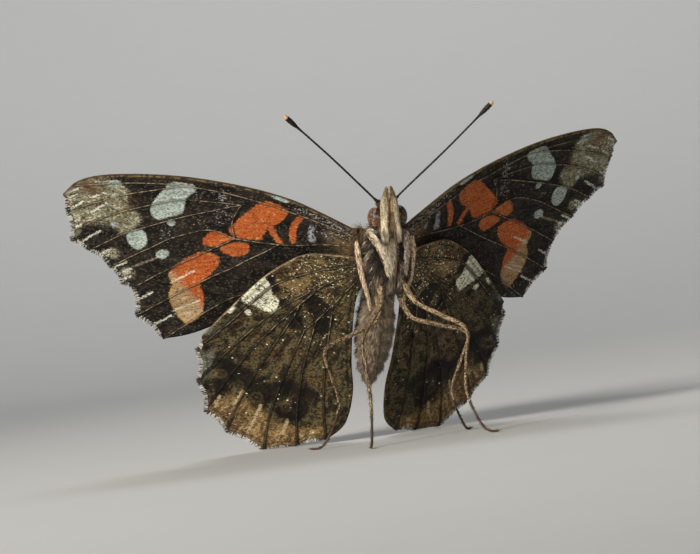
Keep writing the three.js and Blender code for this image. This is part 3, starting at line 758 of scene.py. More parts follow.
hindwingUnderMarks = {
    "cream": [
        [
            (9.2, -4.85), (8.75, -5.2), (8.36, -5.98), (8.06, -7.0), (7.35, -7.6), (7.5, -8.5), (7.85, -9.2),
            (9.2, -8.9), (9.9, -8.5), (11.35, -7.95), (10.6, -6.5),
        ],
        [(12.75, -9.6), (12.3, -9.7), (11.9, -9.0), (12.2, -8.7)],
        [(11.0, -9.3), (10.5, -9.8), (10.1, -9.5), (10.5, -9.0)],
    ],
    "dark": [
        (3.0, -8.2, 1.1, 1.2), (5.4, -10.2, 0.8, 1.3), (8.5, -4.9, 0.55, 1.6), (7.9, -6.2, 0.6, 1.2),
        (7.0, -7.8, 0.7, 0.8), (4.0, -7.1, 0.9, 1.0),
        (2.3, -9.3, 1.2, 1.0), (1.4, -6.0, 0.9, 0.7), (2.7, -10.7, 1.0, 0.9), (5.6, -8.6, 0.8, 0.8),
        (13.4, -15.7, 1.1, 0.6), (10.2, -18.1, 1.5, 1.0), (5.6, -18.5, 1.6, 0.9), (7.6, -19.7, 1.3, 1.0),
        (11.8, -17.0, 1.3, 0.8), (4.2, -21.6, 1.1, 1.3), (5.0, -22.4, 0.7, 1.0), (6.1, -21.9, 0.8, 0.9),
        (3.0, -19.4, 1.3, 0.7), (12.9, -19.2, 1.0, 0.8), (14.6, -19.5, 0.6, 0.8), (14.9, -14.4, 0.6, 0.8),
        (9.6, -10.0, 0.6, 0.8), (11.2, -9.1, 0.4, 0.9), (1.2, -13.0, 1.2, 0.6), (9.0, -20.4, 0.8, 0.6),
        (3.0, -14.0, 1.0, 0.5),
    ],
    "gold": [
        (6.7, -3.1, 0.5, 1.0), (3.8, -2.1, 0.5, 1.0), (3.2, -2.3, 0.4, 0.9), (4.7, -3.6, 0.5, 0.8),
        (7.4, -5.3, 0.6, 0.9), (6.2, -5.2, 0.8, 1.0), (4.7, -4.9, 0.8, 1.0), (5.6, -6.1, 0.7, 0.7),
        (2.4, -7.1, 0.5, 1.0), (1.8, -8.5, 0.5, 0.8), (3.4, -10.5, 0.5, 0.8), (6.1, -11.3, 0.6, 0.8),
        (8.5, -15.2, 0.6, 0.7), (5.8, -15.4, 0.6, 0.7), (8.0, -18.1, 0.4, 0.7), (10.6, -11.8, 1.2, 0.4),
        (2.2, -4.2, 0.7, 0.5), (7.0, -13.2, 0.8, 0.5), (11.6, -13.8, 0.8, 0.4), (3.2, -12.2, 0.7, 0.5),
    ],
    "rust": [
        (7.5, -4.1, 0.7, 1.0), (5.8, -3.4, 0.8, 0.9), (7.1, -5.9, 0.5, 1.0), (5.0, -5.8, 0.7, 1.0),
        (9.2, -12.7, 0.9, 0.6), (7.4, -14.5, 1.0, 0.6), (11.3, -10.4, 0.7, 0.6), (4.5, -14.0, 1.2, 0.5),
        (3.0, -3.3, 0.7, 0.6), (5.4, -17.0, 0.9, 0.5), (2.6, -17.4, 1.1, 0.5),
    ],
    "tan": [
        [
            (12.8, -20.9), (11.2, -20.3), (10.1, -20.6), (8.9, -21.9), (7.9, -22.0), (6.75, -23.1),
            (4.9, -23.6), (2.7, -23.7), (1.2, -23.4), (0.9, -24.6), (3.9, -26.4), (7.5, -27.2),
            (11.5, -25.0), (13.9, -22.7), (14.1, -21.2),
        ],
    ],
    "grey": [
        (14.5, -12.3, 0.8, 0.8), (13.3, -11.8, 0.9, 0.6), (14.5, -15.4, 0.9, 1.0), (14.9, -17.0, 0.8, 1.1),
        (14.2, -17.4, 0.7, 0.6), (12.4, -10.6, 0.7, 0.5), (14.6, -18.4, 0.5, 0.6), (8.4, -9.9, 0.5, 0.6),
        (3.6, -21.0, 0.5, 0.3),
    ],
    "dust": [
        (4.0, -3.0, 2.2, 1.0), (1.6, -5.0, 2.0, 0.9), (6.4, -5.6, 1.5, 0.9), (3.2, -8.2, 1.7, 0.8),
        (2.2, -11.4, 1.6, 0.4),
    ],
    "streaks": [
        [(10.4, -19.6), (11.3, -21.4)], [(8.35, -21.3), (9.1, -23.8)], [(5.33, -23.0), (5.75, -24.9)],
        [(9.1, -23.8), (9.6, -25.2)], [(12.9, -20.6), (13.4, -21.6)], [(2.6, -24.2), (2.7, -25.4)],
    ],
    "eyes": [(12.9, -17.6, 0.5), (11.0, -18.9, 0.55), (8.9, -20.3, 0.6), (5.6, -21.3, 0.55)],
}

hindwingUpperMarks = {
    "red": [
        [
            (15.3, -15.9), (15.0, -18.9), (14.0, -22.5), (11.7, -24.9), (7.6, -27.0), (4.6, -26.4),
            (4.2, -23.9), (7.2, -23.6), (9.6, -21.9), (11.2, -19.6), (12.1, -17.0), (12.7, -14.9),
            (14.0, -14.3),
        ],
    ],
    "spots": [(13.1, -17.4, 0.55), (12.4, -20.2, 0.62), (10.4, -22.5, 0.6), (7.9, -24.4, 0.6)],
    "blue": [[(3.7, -25.7), (2.8, -25.9), (1.9, -25.2), (2.3, -24.6), (3.3, -24.8)]],
    "rust": [(2.0, -8.0, 4.0, 0.8), (5.0, -6.0, 3.0, 0.6), (2.0, -15.0, 4.5, 0.6)],
    "gold": [(0.8, -5.0, 2.2, 0.7), (0.2, -12.0, 1.6, 0.7), (0.0, -18.0, 1.4, 0.6)],
}


# Each mark becomes a field on the blade: depth inside an outline, nearness to a line, or strength of a spot.
def markField(name, entries, places):
    if not entries:
        return np.full(len(places), -9.0)
    if name in ("eyes", "spots"):
        return np.max([s[2] - np.hypot(places[:, 0] - s[0], places[:, 1] - s[1]) for s in entries], axis=0)
    if name in ("streaks", "folds"):
        return 0.3 - np.min([runDistance(places, np.array(run)) for run in entries], axis=0)
    if isinstance(entries[0], tuple):
        return softSpots(places, entries)
    return depthInside(places, entries)


def keepMarks(mesh, wing, shape, side, upper, under):
    places = shape["places"]
    for name in sorted(set(upper) | set(under)):
        both = [markField(name, marks.get(name), places) for marks in (upper, under)]
        keepField(mesh, name, np.concatenate(both))
    for name in ("fromVein", "fromFold", "fromEdge", "fromCosta"):
        keepField(mesh, name, np.tile(shape[name], 2))
    flat = np.column_stack([places, np.full(len(places), side * 7.0)])
    keepField(mesh, "place", np.vstack([flat + (0, 0, 20), flat]))
    away = places - wing["root"]
    fan = np.column_stack([np.hypot(*away.T), np.arctan2(away[:, 1], away[:, 0]) * 12, flat[:, 2]])
    keepField(mesh, "fan", np.vstack([fan + (0, 0, 20), fan]))


# Finishes of the wings: powdery scales in rows, over which the marks are laid.
wingTones = {
    "black": (0.006, 0.005, 0.0045),
    "brownBlack": (0.024, 0.018, 0.013),
    "duskScale": (0.058, 0.049, 0.035),
    "red": (0.4, 0.068, 0.015),
    "orange": (0.5, 0.15, 0.034),
    "redPale": (0.55, 0.32, 0.17),
    "buff": (0.37, 0.285, 0.155),
    "buffDusk": (0.22, 0.13, 0.055),
    "buffRim": (0.4, 0.22, 0.05),
    "buffHighlight": (0.74, 0.62, 0.46),
    "white": (0.46, 0.53, 0.47),
    "whiteDusk": (0.2, 0.23, 0.2),
    "lilac": (0.3, 0.3, 0.32),
    "lilacDust": (0.24, 0.245, 0.28),
    "goldDust": (0.25, 0.17, 0.07),
    "apexTan": (0.185, 0.162, 0.085),
    "apexLight": (0.36, 0.34, 0.23),
    "apexDusk": (0.034, 0.027, 0.015),
    "apexPale": (0.68, 0.65, 0.52),
    "rust": (0.13, 0.05, 0.018),
    "gold": (0.3, 0.19, 0.075),
    "veinGold": (0.4, 0.3, 0.17),
    "olive": (0.088, 0.073, 0.034),
    "bark": (0.165, 0.118, 0.05),
    "tan": (0.34, 0.21, 0.08),
    "tanDusk": (0.14, 0.092, 0.036),
    "tanLight": (0.5, 0.37, 0.2),
    "cream": (0.8, 0.77, 0.56),
    "creamDusk": (0.4, 0.41, 0.32),
    "grey": (0.26, 0.285, 0.22),
    "greyDusk": (0.07, 0.07, 0.05),
    "ringBlue": (0.2, 0.23, 0.24),
    "spotBlue": (0.16, 0.27, 0.5),
}
scaleRows = {
    "perMm": 8.5,
    "stretch": (0.65, 1.0, 1.0),   # scales are longer than wide
    "fold": (0.3, 3.0, 1.0),       # fine folds fan out from the root
    "relief": 0.00004,
    "roughness": 0.62,
    "specular": 0.1,
}


class WingFinish(Finish):
    def __init__(self, name):
        super().__init__(name, scaleRows["roughness"], scaleRows["specular"])
        self.place = self.field("place", "Vector")
        rows = self.stretched(self.place, scaleRows["stretch"])
        self.distance, self.random, self.other = self.cells(rows, scaleRows["perMm"])
        self.wide = self.noise(self.stretched(self.place, (0.5, 1.2, 1.0)), 0.9, 4.0)
        self.blotch = self.noise(self.place, 1.9, 4.0, 0.6)
        self.fine = self.noise(self.place, 5.0, 3.0)
        fan = self.field("fan", "Vector")
        self.streak = self.noise(self.stretched(fan, scaleRows["fold"]), 1.6, 4.0, 0.6)
        self.mottle = self.noise(self.stretched(fan, (0.7, 1.5, 1.0)), 1.1, 5.0, 0.68)
        fineShare = self.times(self.plus(self.fine, -0.5), 0.5)
        self.ragged = self.plus(fineShare, self.times(self.plus(self.random, -0.5), 0.16))

    # Where a field passes zero, with an edge as ragged as the scales.
    def mark(self, name, soft=0.05, rough=1.0):
        return self.patch(name, -soft, soft, rough)

    def patch(self, name, low, high, rough=1.0):
        return self.step(self.plus(self.field(name), self.times(self.ragged, rough)), low, high)

    # Scattered single scales.
    def scales(self, tone, share, random):
        self.lay(tone, self.calc("LESS_THAN", random, share))

    def outAndFore(self):
        split = self.node("ShaderNodeSeparateXYZ")
        self.put(split.inputs[0], self.place)
        return split.outputs[0], split.outputs[1]

    def redBand(self):
        glow = self.plus(self.streak, self.times(self.random, 0.4))
        return self.mix("red", "orange", self.step(glow, 0.5, 0.95))

    def finish(self, ribs):
        rows = self.plus(self.times(self.random, 0.5), self.times(self.distance, -0.6))
        rows = self.plus(rows, self.times(ribs, 0.25), self.times(self.streak, 2.2))
        self.bump(rows, 0.5, scaleRows["relief"])
        self.put(self.shader.inputs["Sheen Weight"], 0.03)
        self.put(self.shader.inputs["Sheen Roughness"], 0.4)
        return self.done()


def forewingFinish(name, upper):
    f = WingFinish(name)
    fromVein, fromFold = f.field("fromVein"), f.field("fromFold")
    f.color = f.mix("black", "brownBlack", f.step(f.wide, 0.4, 0.68))
    f.lay("brownBlack", f.step(f.streak, 0.45, 0.7), 0.6)
    f.scales("duskScale", f.step(f.blotch, 0.4, 0.7, 0.1, 0.3), f.random)
    f.lay("rust", f.times(f.field("rust"), f.step(f.fine, 0.35, 0.7)), 0.5)
    dust = f.mix("lilacDust", "goldDust", f.step(f.random, 0.62, 0.66))
    f.scales(dust, f.times(f.field("dust"), f.step(f.fine, 0.42, 0.58, 0.1, 0.46)), f.other)

    # The apex is marbled in tan, grey and brown.
    grainy = f.plus(f.times(f.blotch, 0.7), f.times(f.random, 0.3))
    marbled = f.mix("apexTan", "apexLight", f.step(grainy, 0.44, 0.6))
    paleScales = f.times(f.step(f.other, 0.8, 0.86), f.step(f.streak, 0.42, 0.6, 0.1, 0.8))
    marbled = f.mix(marbled, "apexPale", paleScales)
    darkLines = f.step(f.plus(f.streak, f.times(f.random, 0.4)), 0.62, 0.5, 0.0, 0.8)
    marbled = f.mix(marbled, "apexDusk", darkLines)
    marbled = f.mix(marbled, "rust", f.times(f.field("rust"), f.step(f.fine, 0.3, 0.55, 0.25, 0.85)))
    marbled = f.mix(marbled, "apexDusk", f.step(f.random, 0.72, 0.95, 0.0, 0.6))
    f.lay(marbled, f.patch("apex", 0.25, 0.75, 1.6), 0.94)
    pale = f.mix("apexPale", "apexLight", f.step(f.random, 0.35, 0.8))
    f.lay(pale, f.patch("pale", 0.4, 0.85, 1.8), 0.75)
    f.lay("black", f.patch("streaks", 0.0, 0.12, 0.35), 0.35)
    bars = f.times(f.patch("streaks", 0.12, 0.26, 0.75), f.step(f.random, 0.05, 0.55, 0.25, 1.0))
    f.lay("apexPale", bars, 0.95)

    # The fore edge is golden brown, brightest beyond the middle.
    edge = f.step(f.field("fromCosta"), 0.5, 0.2)
    f.lay("apexDusk", edge, 0.6)
    golden = f.times(f.field("gold"), f.step(f.plus(f.fine, f.times(f.random, 0.3)), 0.45, 0.8))
    f.lay("gold", golden, 0.5)
    nearCosta = f.step(f.plus(f.field("fromCosta"), f.times(f.ragged, 0.3)), 0.3, 0.1)
    f.lay("gold", f.times(nearCosta, f.step(f.blotch, 0.42, 0.56)), 0.8)

    # The band turns from red to buff at its hinder end.
    out, fore = f.outAndFore()
    outward = f.plus(f.times(f.plus(out, -17.4), 0.4), f.times(f.plus(fore, 7.6), -0.35))
    buffShare = f.step(f.plus(outward, f.times(f.ragged, 1.6)), -0.25, 0.25)
    band = f.redBand()
    if not upper:
        paleScales = f.times(f.step(f.other, 0.86, 0.9), f.step(f.blotch, 0.45, 0.6), 0.8)
        band = f.mix(band, "redPale", paleScales)
        buff = f.mix("buff", "buffDusk", f.step(f.plus(f.fine, f.times(f.random, 0.5)), 0.65, 1.0))
        warm = f.step(f.plus(f.mottle, f.times(f.other, 0.3)), 0.62, 0.74, 0.0, 0.4)
        # Pale streaks in the buff are painted highlights on its fine folds.
        light = f.step(f.plus(f.streak, f.times(f.random, 0.2)), 0.64, 0.78, 0.0, 0.6)
        buff = f.mix(f.mix(buff, "orange", warm), "buffHighlight", light)
        band = f.mix(band, buff, buffShare)
        rim = f.times(f.step(f.field("red"), 0.42, 0.1), f.step(outward, 0.0, 0.5))
        band = f.mix(band, "buffRim", f.times(rim, 0.7))
    band = f.mix(band, "brownBlack", f.step(f.random, 0.92, 0.95, 0.0, 0.7))
    f.lay(band, f.mark("red", 0.07))
    white = f.mix("white", "whiteDusk", f.step(f.plus(f.random, f.times(f.fine, 0.6)), 0.55, 1.15))
    f.lay(white, f.mark("white", 0.05, 0.8))
    f.lay(f.mix("lilac", "black", f.step(f.random, 0.6, 0.9)), f.mark("lilac", 0.12))

    if not upper:
        # Painted highlights along the folds in the red and buff.
        foldHighlight = f.times(f.patch("folds", 0.12, 0.26, 0.7), f.step(f.random, 0.1, 0.7, 0.3, 1.0))
        f.lay("buffHighlight", f.times(foldHighlight, f.step(f.field("red"), -0.2, 0.1, 0.3, 0.9)))

    # Veins are fine raised lines, dark along their sides; on the underside that dark is painted shadow.
    # Fainter folds run between them.
    rib = f.step(fromVein, 0.075, 0.02)
    if upper:
        f.lay("black", f.step(fromVein, 0.2, 0.06), 0.85)
    else:
        # painted shadow beside the raised veins
        f.lay("black", f.step(fromVein, 0.26, 0.1), 0.55)
        dots = f.step(f.random, 0.05, 0.75, 0.35, 1.0)
        f.lay("veinGold", f.times(rib, dots, f.step(f.noise(f.place, 2.2), 0.36, 0.6, 0.12, 1.0)))
        fold = f.times(f.step(fromFold, 0.12, 0.03), f.step(fromVein, 0.4, 0.7))
        f.lay("black", f.times(f.step(fromFold, 0.3, 0.1), f.step(fromVein, 0.4, 0.7)), 0.4)
        f.lay("apexLight", f.times(fold, dots, f.step(f.noise(f.place, 1.1), 0.5, 0.62)), 0.75)
    f.lay("black", f.step(f.field("fromEdge"), 0.2, 0.04), 0.6)
    return f.finish(rib)


def hindwingUnderFinish():
    f = WingFinish("hindwingUnderScales")
    fromVein, fromFold = f.field("fromVein"), f.field("fromFold")
    out, fore = f.outAndFore()
    mixture = f.plus(f.times(f.blotch, 0.75), f.times(f.random, 0.25))
    f.color = f.mix("brownBlack", "olive", f.step(mixture, 0.36, 0.54))
    f.lay("bark", f.step(f.plus(f.times(f.streak, 0.7), f.times(f.random, 0.3)), 0.47, 0.62), 0.7)
    f.lay("rust", f.step(f.mottle, 0.44, 0.36), 0.5)
    f.lay("black", f.step(f.plus(f.mottle, f.times(f.random, 0.08)), 0.53, 0.62), 0.8)
    f.lay("rust", f.times(f.patch("rust", 0.1, 0.9), f.step(f.blotch, 0.38, 0.6)), 0.85)
    f.lay(f.mix("tan", "tanDusk", f.step(mixture, 0.42, 0.62)), f.patch("tan", -0.3, 0.5, 1.4), 0.95)
    band = f.patch("tan", 0.1, 0.9)
    f.lay("tanDusk", f.times(band, f.step(out, 8.5, 11.5)), 0.8)
    f.lay("rust", f.times(band, f.step(f.mottle, 0.52, 0.42)), 0.5)
    f.lay("tanLight", f.times(band, f.step(f.streak, 0.53, 0.64)), 0.7)
    f.lay("brownBlack", f.times(band, f.step(f.streak, 0.46, 0.38)), 0.6)
    f.lay("tanLight", f.times(band, f.step(f.other, 0.86, 0.92)), 0.6)
    f.lay(f.mix("gold", "bark", f.random), f.patch("gold", 0.35, 0.85, 1.3), 0.8)
    f.lay("black", f.patch("dark", 0.25, 0.75, 1.3), 0.88)
    f.lay(f.mix("grey", "greyDusk", f.step(f.random, 0.3, 0.7)), f.patch("grey", 0.3, 0.9), 0.8)
    ring = f.plus(f.field("eyes"), f.times(f.ragged, 0.3))
    f.lay("bark", f.step(ring, -0.25, 0.0), 0.22)
    f.lay("black", f.step(ring, 0.05, 0.2), 0.55)
    f.lay("ringBlue", f.step(ring, 0.36, 0.46), 0.3)
    f.lay("tanLight", f.patch("streaks", 0.0, 0.22, 0.35), 0.8)

    # Pale dust is thick near the root and thin elsewhere.
    dust = f.times(f.field("dust"), f.step(f.field("dark"), 0.75, 0.3, 0.1, 1.0))
    f.scales("gold", f.times(dust, f.step(f.fine, 0.4, 0.56, 0.0, 0.34)), f.other)
    f.scales("cream", f.plus(f.times(dust, f.step(f.fine, 0.5, 0.62, 0.0, 0.2)), 0.003), f.other)
    f.lay("black", f.calc("LESS_THAN", f.random, 0.24), 0.6)
    cream = f.mix("cream", "creamDusk", f.step(f.plus(f.random, f.times(f.fine, 0.5)), 0.65, 1.1))
    cream = f.mix(cream, "brownBlack", f.step(f.other, 0.8, 0.86, 0.0, 0.85))
    f.lay(cream, f.mark("cream", 0.06))
    rib = f.step(fromVein, 0.07, 0.015)
    # Dark along the veins is painted shadow beside the raised lines.
    f.lay("black", f.step(fromVein, 0.3, 0.08), 0.75)
    veinEnds = f.times(f.step(fromVein, 0.36, 0.14), f.step(f.field("fromEdge"), 2.4, 1.0))
    f.lay("black", veinEnds, 0.5)
    nearRoot = f.step(fore, -17.0, -8.0, 0.15, 1.0)
    dots = f.step(f.random, 0.05, 0.75, 0.3, 1.0)
    f.lay("veinGold", f.times(rib, nearRoot, dots, f.step(f.noise(f.place, 1.6), 0.4, 0.6, 0.1, 1.0)))
    f.lay("black", f.times(f.step(fromFold, 0.25, 0.05), f.step(fromVein, 0.4, 0.8)), 0.5)
    # A pale line along the fore edge is a painted highlight on its rim.
    wearAndRimHighlight = f.times(f.step(f.field("fromCosta"), 0.15, 0.04), f.step(f.random, 0.1, 0.7, 0.3, 1.0))
    f.lay("tanLight", f.times(wearAndRimHighlight, f.step(f.noise(f.place, 1.1), 0.44, 0.6, 0.05, 0.9)))
    fromEdge = f.field("fromEdge")
    f.lay("black", f.times(f.step(fromEdge, 0.75, 0.6), f.step(fromEdge, 0.3, 0.45)), 0.45)
    return f.finish(rib)


def hindwingUpperFinish():
    f = WingFinish("hindwingUpperScales")
    f.color = f.mix("black", "brownBlack", f.step(f.wide, 0.4, 0.7))
    f.lay("bark", f.times(f.field("rust"), f.step(f.streak, 0.35, 0.7)), 0.6)
    f.lay("gold", f.times(f.field("gold"), f.step(f.streak, 0.4, 0.7)), 0.5)
    f.lay(f.redBand(), f.mark("red", 0.07))
    f.lay("black", f.mark("spots", 0.05, 0.5))
    f.lay("black", f.step(f.field("blue"), -0.45, -0.2))
    f.lay("spotBlue", f.patch("blue", -0.06, 0.1))
    f.lay("black", f.step(f.field("fromVein"), 0.2, 0.06), 0.85)
    f.lay("black", f.step(f.field("fromEdge"), 0.4, 0.2), 0.85)
    return f.finish(f.step(f.field("fromVein"), 0.08, 0.02))


# Tinted parts carry their colour in the mesh, with a fine grain over it.
def tintedFinish(name, roughness=0.6, specular=0.25, variety=0.3):
    f = Finish(name, roughness, specular)
    grain = f.step(f.noise(f.here(), 1500.0, 2.0), 0.3, 0.7)
    dim = f.mix((1 - variety,) * 3, (1 + variety * 0.6,) * 3, grain)
    f.color = f.mix(f.field("tint", "Color"), dim, 1.0, "MULTIPLY")
    return f.done()


fringeMaterial = tintedFinish("fringeScales", 0.6, 0.15)
forewingUnder = forewingFinish("forewingUnderScales", upper=False)
forewingUpper = forewingFinish("forewingUpperScales", upper=True)
hindwingUnder = hindwingUnderFinish()
hindwingUpper = hindwingUpperFinish()


def buildWing(name, wing, side, upperMarks, underMarks, materials, slot):
    shape = wingShape(wing, side, underMarks["streaks"] + underMarks.get("folds", []))
    mesh = newMesh(name + "_blade", aboveFloor(toRow(shape["verts"]) / mm) * mm, shape["tris"])
    mesh.polygons.foreach_set("material_index", shape["kinds"])
    keepMarks(mesh, wing, shape, side, upperMarks, underMarks)
    newPiece(mesh, materials, slot, name)
    buildFringe(name, wing, side, shape["margin"], shape["normals"], slot)
    print(f"  {name}: {len(shape['tris'])} triangles")


# The fringe alternates pale tufts between the veins with dark ones at their ends.
fringe = {
    "pale": (0.66, 0.64, 0.55),
    "dark": (0.06, 0.048, 0.035),
    "paleShare": 0.62,
    "width": (0.06, 0.1),
    "overlap": 0.12,       # how far its scales reach under the blade's edge
}


def buildFringe(name, wing, side, margin, normals, slot):
    rng = np.random.default_rng(31 + len(name) + side)
    steps = np.concatenate([[0], np.cumsum(np.linalg.norm(np.diff(margin, axis=0), axis=1))])
    total = steps[-1]
    count = int(total / wingBuild["fringeGap"])
    along = np.sort(rng.random(count)) * total
    out, fore = (np.interp(along, steps, margin[:, k]) for k in (0, 1))
    ahead, beside = unit(np.stack([np.interp(along, steps, normals[:, k]) for k in (0, 1)], 1)).T
    spread = rng.normal(0, 0.16, count)
    c, s = np.cos(spread), np.sin(spread)
    ahead, beside = ahead * c - beside * s, ahead * s + beside * c
    bow = -stance["wingBow"] * (np.maximum(out, 0) / stance["forewingLength"]) ** 2 - wing["drop"]
    level = bow + rng.uniform(-0.05, 0.05, count)
    rise = rng.normal(0, 0.08, count)
    overlap = fringe["overlap"]
    root = wingToBody(side, out - ahead * overlap, fore - beside * overlap, level)
    far = wingToBody(side, out + ahead, fore + beside, level + rise)
    near = wingToBody(side, out, fore, level)
    taper = ease(0, 1.2, along) * ease(0, 1.2, total - along)
    length = (0.15 + (wingBuild["fringe"] - 0.02) * taper) * rng.uniform(0.7, 1.08, count)
    flat = np.stack([out, fore], 1)
    fromTips = np.min(np.linalg.norm(flat[:, None] - np.array(wing["tips"])[None], axis=2), axis=1)
    pale = rng.random(count) < ease(0.45, 0.9, fromTips) * fringe["paleShare"]
    tone = rng.uniform(0.6, 1.1, (count, 1))
    tints = np.where(pale[:, None], fringe["pale"], fringe["dark"]) * tone
    facing = turnToRow(wingToBody(side, out, fore, level + 1) - near)
    unwrap = np.stack([0.02 + 0.95 * along / total, rng.uniform(0.3, 0.7, count)], 1)
    direction = unit(turnToRow(far - near))
    width = rng.uniform(*fringe["width"], count)
    blades(name + "_fringe", toRow(root) / mm, direction, direction, length, width, facing, tints, unwrap,
           fringeMaterial, slot, "scale", aboveFloor)


for sideName, side, front in (("left", 1, forewing), ("right", -1, nickedForewing)):
    buildWing("forewing_" + sideName, front, side, forewingUpperMarks, forewingUnderMarks,
              [forewingUpper, forewingUnder], "forewing_scales")
    buildWing("hindwing_" + sideName, hindwing, side, hindwingUpperMarks, hindwingUnderMarks,
              [hindwingUpper, hindwingUnder], "hindwing_scales")
print("stage: wings")

# Trunk and head share one skin. Sections give fore, half width, and the reach to back and belly.
trunk = {
    "thorax": [
        (2.6, 1.15, -0.1, -2.4), (2.0, 1.8, 0.8, -3.0), (1.0, 2.4, 1.5, -4.0), (-0.5, 2.85, 1.9, -4.9),
        (-2.0, 3.0, 2.0, -5.3), (-3.6, 2.8, 1.8, -5.2), (-5.0, 2.2, 1.3, -4.3), (-6.1, 1.5, 0.7, -3.0),
    ],
    "abdomen": [
        (-6.4, 1.45, 0.6, -2.9), (-7.7, 1.85, 0.8, -3.3), (-9.6, 2.1, 0.8, -3.5), (-12.0, 2.05, 0.6, -3.4),
        (-14.4, 1.75, 0.2, -3.0), (-16.6, 1.2, -0.3, -2.4), (-18.0, 0.45, -0.9, -1.8),
    ],
    "thoraxCoat": 0.75,
    "abdomenCoat": 0.3,
    "headReach": (0.95, 1.1, 1.2),
    "voxel": 0.11,
    "segments": 7,
    "segmentSpan": (-6.4, -18.0),    # fore, from the first ring of the abdomen to the last
    "grooveDepth": 0.09,
}


def loftBody(sections, coat, rows, sides):
    line = smoothLine(sections, 0.01)
    pick = line[np.linspace(0, len(line) - 1, rows).astype(int)]
    turn = around(sides)
    fore, half, top, bottom = pick.T
    fore = fore - coat * np.linspace(1, -1, rows)
    half, tall, middle = half - coat, (top - bottom) / 2 - coat, (top + bottom) / 2
    rings = np.stack([
        half[:, None] * np.cos(turn)[None],
        np.repeat(fore[:, None], sides, 1),
        middle[:, None] + tall[:, None] * np.sin(turn)[None],
    ], 2)
    return closedRings(rings)


def ball(centre, reach, placed=lambda points: points):
    rows, sides = 24, 32
    polar = np.linspace(0.02, math.pi - 0.02, rows)[:, None]
    turn = around(sides)[None]
    rings = np.stack([
        np.sin(polar) * np.cos(turn),
        np.repeat(np.cos(polar), sides, 1),
        np.sin(polar) * np.sin(turn),
    ], 2)
    verts, tris = closedRings(rings * np.array(reach) + np.array(centre))
    return placed(verts), tris


def bodySkin():
    forms = [
        loftBody(trunk["thorax"], trunk["thoraxCoat"], 30, 40),
        loftBody(trunk["abdomen"], trunk["abdomenCoat"], 40, 36),
        ball(head["centre"], trunk["headReach"], onHead),
        ball((0, 2.4, -1.2), (0.8, 1.2, 1.1)),
        ball((0, -6.2, -1.15), (1.15, 1.4, 1.3)),
        ball((0, 3.0, -2.3), (0.7, 0.8, 0.7), onHead),
    ]
    for side in (1, -1):
        forms.append(ball((side * 2.1, -0.3, 0.1), (0.75, 1.6, 0.8)))
        forms.append(ball((side * 2.0, -2.9, -0.7), (0.7, 1.5, 0.8)))
        forms.append(ball((side * 0.62, 4.45, -0.95), (0.32, 0.4, 0.34), onHead))
    verts, tris, start = [], [], 0
    for v, t in forms:
        verts.append(v)
        tris.append(t + start)
        start += len(v)
    mesh = newMesh("body_rough", toRow(np.vstack(verts)), np.vstack(tris)[:, ::-1])
    rough = newObject("body_rough", mesh)
    remesh = rough.modifiers.new("join", "REMESH")
    remesh.mode = "VOXEL"
    remesh.voxel_size = trunk["voxel"] * mm
    soften = rough.modifiers.new("soften", "SMOOTH")
    soften.factor = 0.5
    soften.iterations = 6
    seen = rough.evaluated_get(bpy.context.evaluated_depsgraph_get())
    joined = seen.to_mesh()
    joined.calc_loop_triangles()
    verts = np.zeros(len(joined.vertices) * 3)
    joined.vertices.foreach_get("co", verts)
    tris = np.zeros(len(joined.loop_triangles) * 3, np.int32)
    joined.loop_triangles.foreach_get("vertices", tris)
    seen.to_mesh_clear()
    bpy.data.objects.remove(rough)
    return fromRow(verts.reshape(-1, 3)), tris.reshape(-1, 3)


def bodyUnwrap(points):
    left, fore, up = points.T
    axis = np.interp(fore, (-18, -12, -2, 5), (-1.3, -1.4, -1.5, -1.6))
    turn = np.arctan2(up - axis, left) / (2 * math.pi)
    return np.stack([0.5 + turn * 0.94, 0.03 + 0.93 * (fore + 18.2) / 24], 1)


# Colours of the skin and the coat, by region.
coat = {
    "chest": (0.115, 0.086, 0.063),
    "chestDark": (0.02, 0.015, 0.011),
    "chestPale": (0.9, 0.74, 0.54),
    "bibTone": (0.95, 0.81, 0.6),
    "shoulder": (0.2, 0.105, 0.06),
    "back": (0.1, 0.068, 0.035),
    "backGold": (0.2, 0.135, 0.06),
    "abdomenBack": (0.035, 0.026, 0.018),
    "abdomenBelly": (0.19, 0.14, 0.09),
    "head": (0.12, 0.08, 0.05),
    "face": (0.34, 0.26, 0.15),
    "bibLeft": -0.18,      # the pale bib narrows backwards from the palps
    "bib": [(-1.4, 0.05), (0.4, 0.62), (2.4, 0.9)],
    "clump": (0.5, 1.3, 0.5),        # size of the tufts, in millimetres
    "skinShade": 0.55,     # the skin is darker than its hair, and less so in the bib
    "bibShade": 0.35,
}


def bibShare(points):
    reach = np.interp(points[:, 1], *zip(*coat["bib"]))
    beside = np.abs(points[:, 0] - coat["bibLeft"]) - reach
    below = ease(-1.8, -2.6, points[:, 2])
    # gap: a strip just beside the bib, painted shadow along the front legs
    gap = ease(1.1, 0.5, beside) * ease(-1.8, -0.4, points[:, 1])
    return ease(0.12, -0.12, beside) * below, gap * below


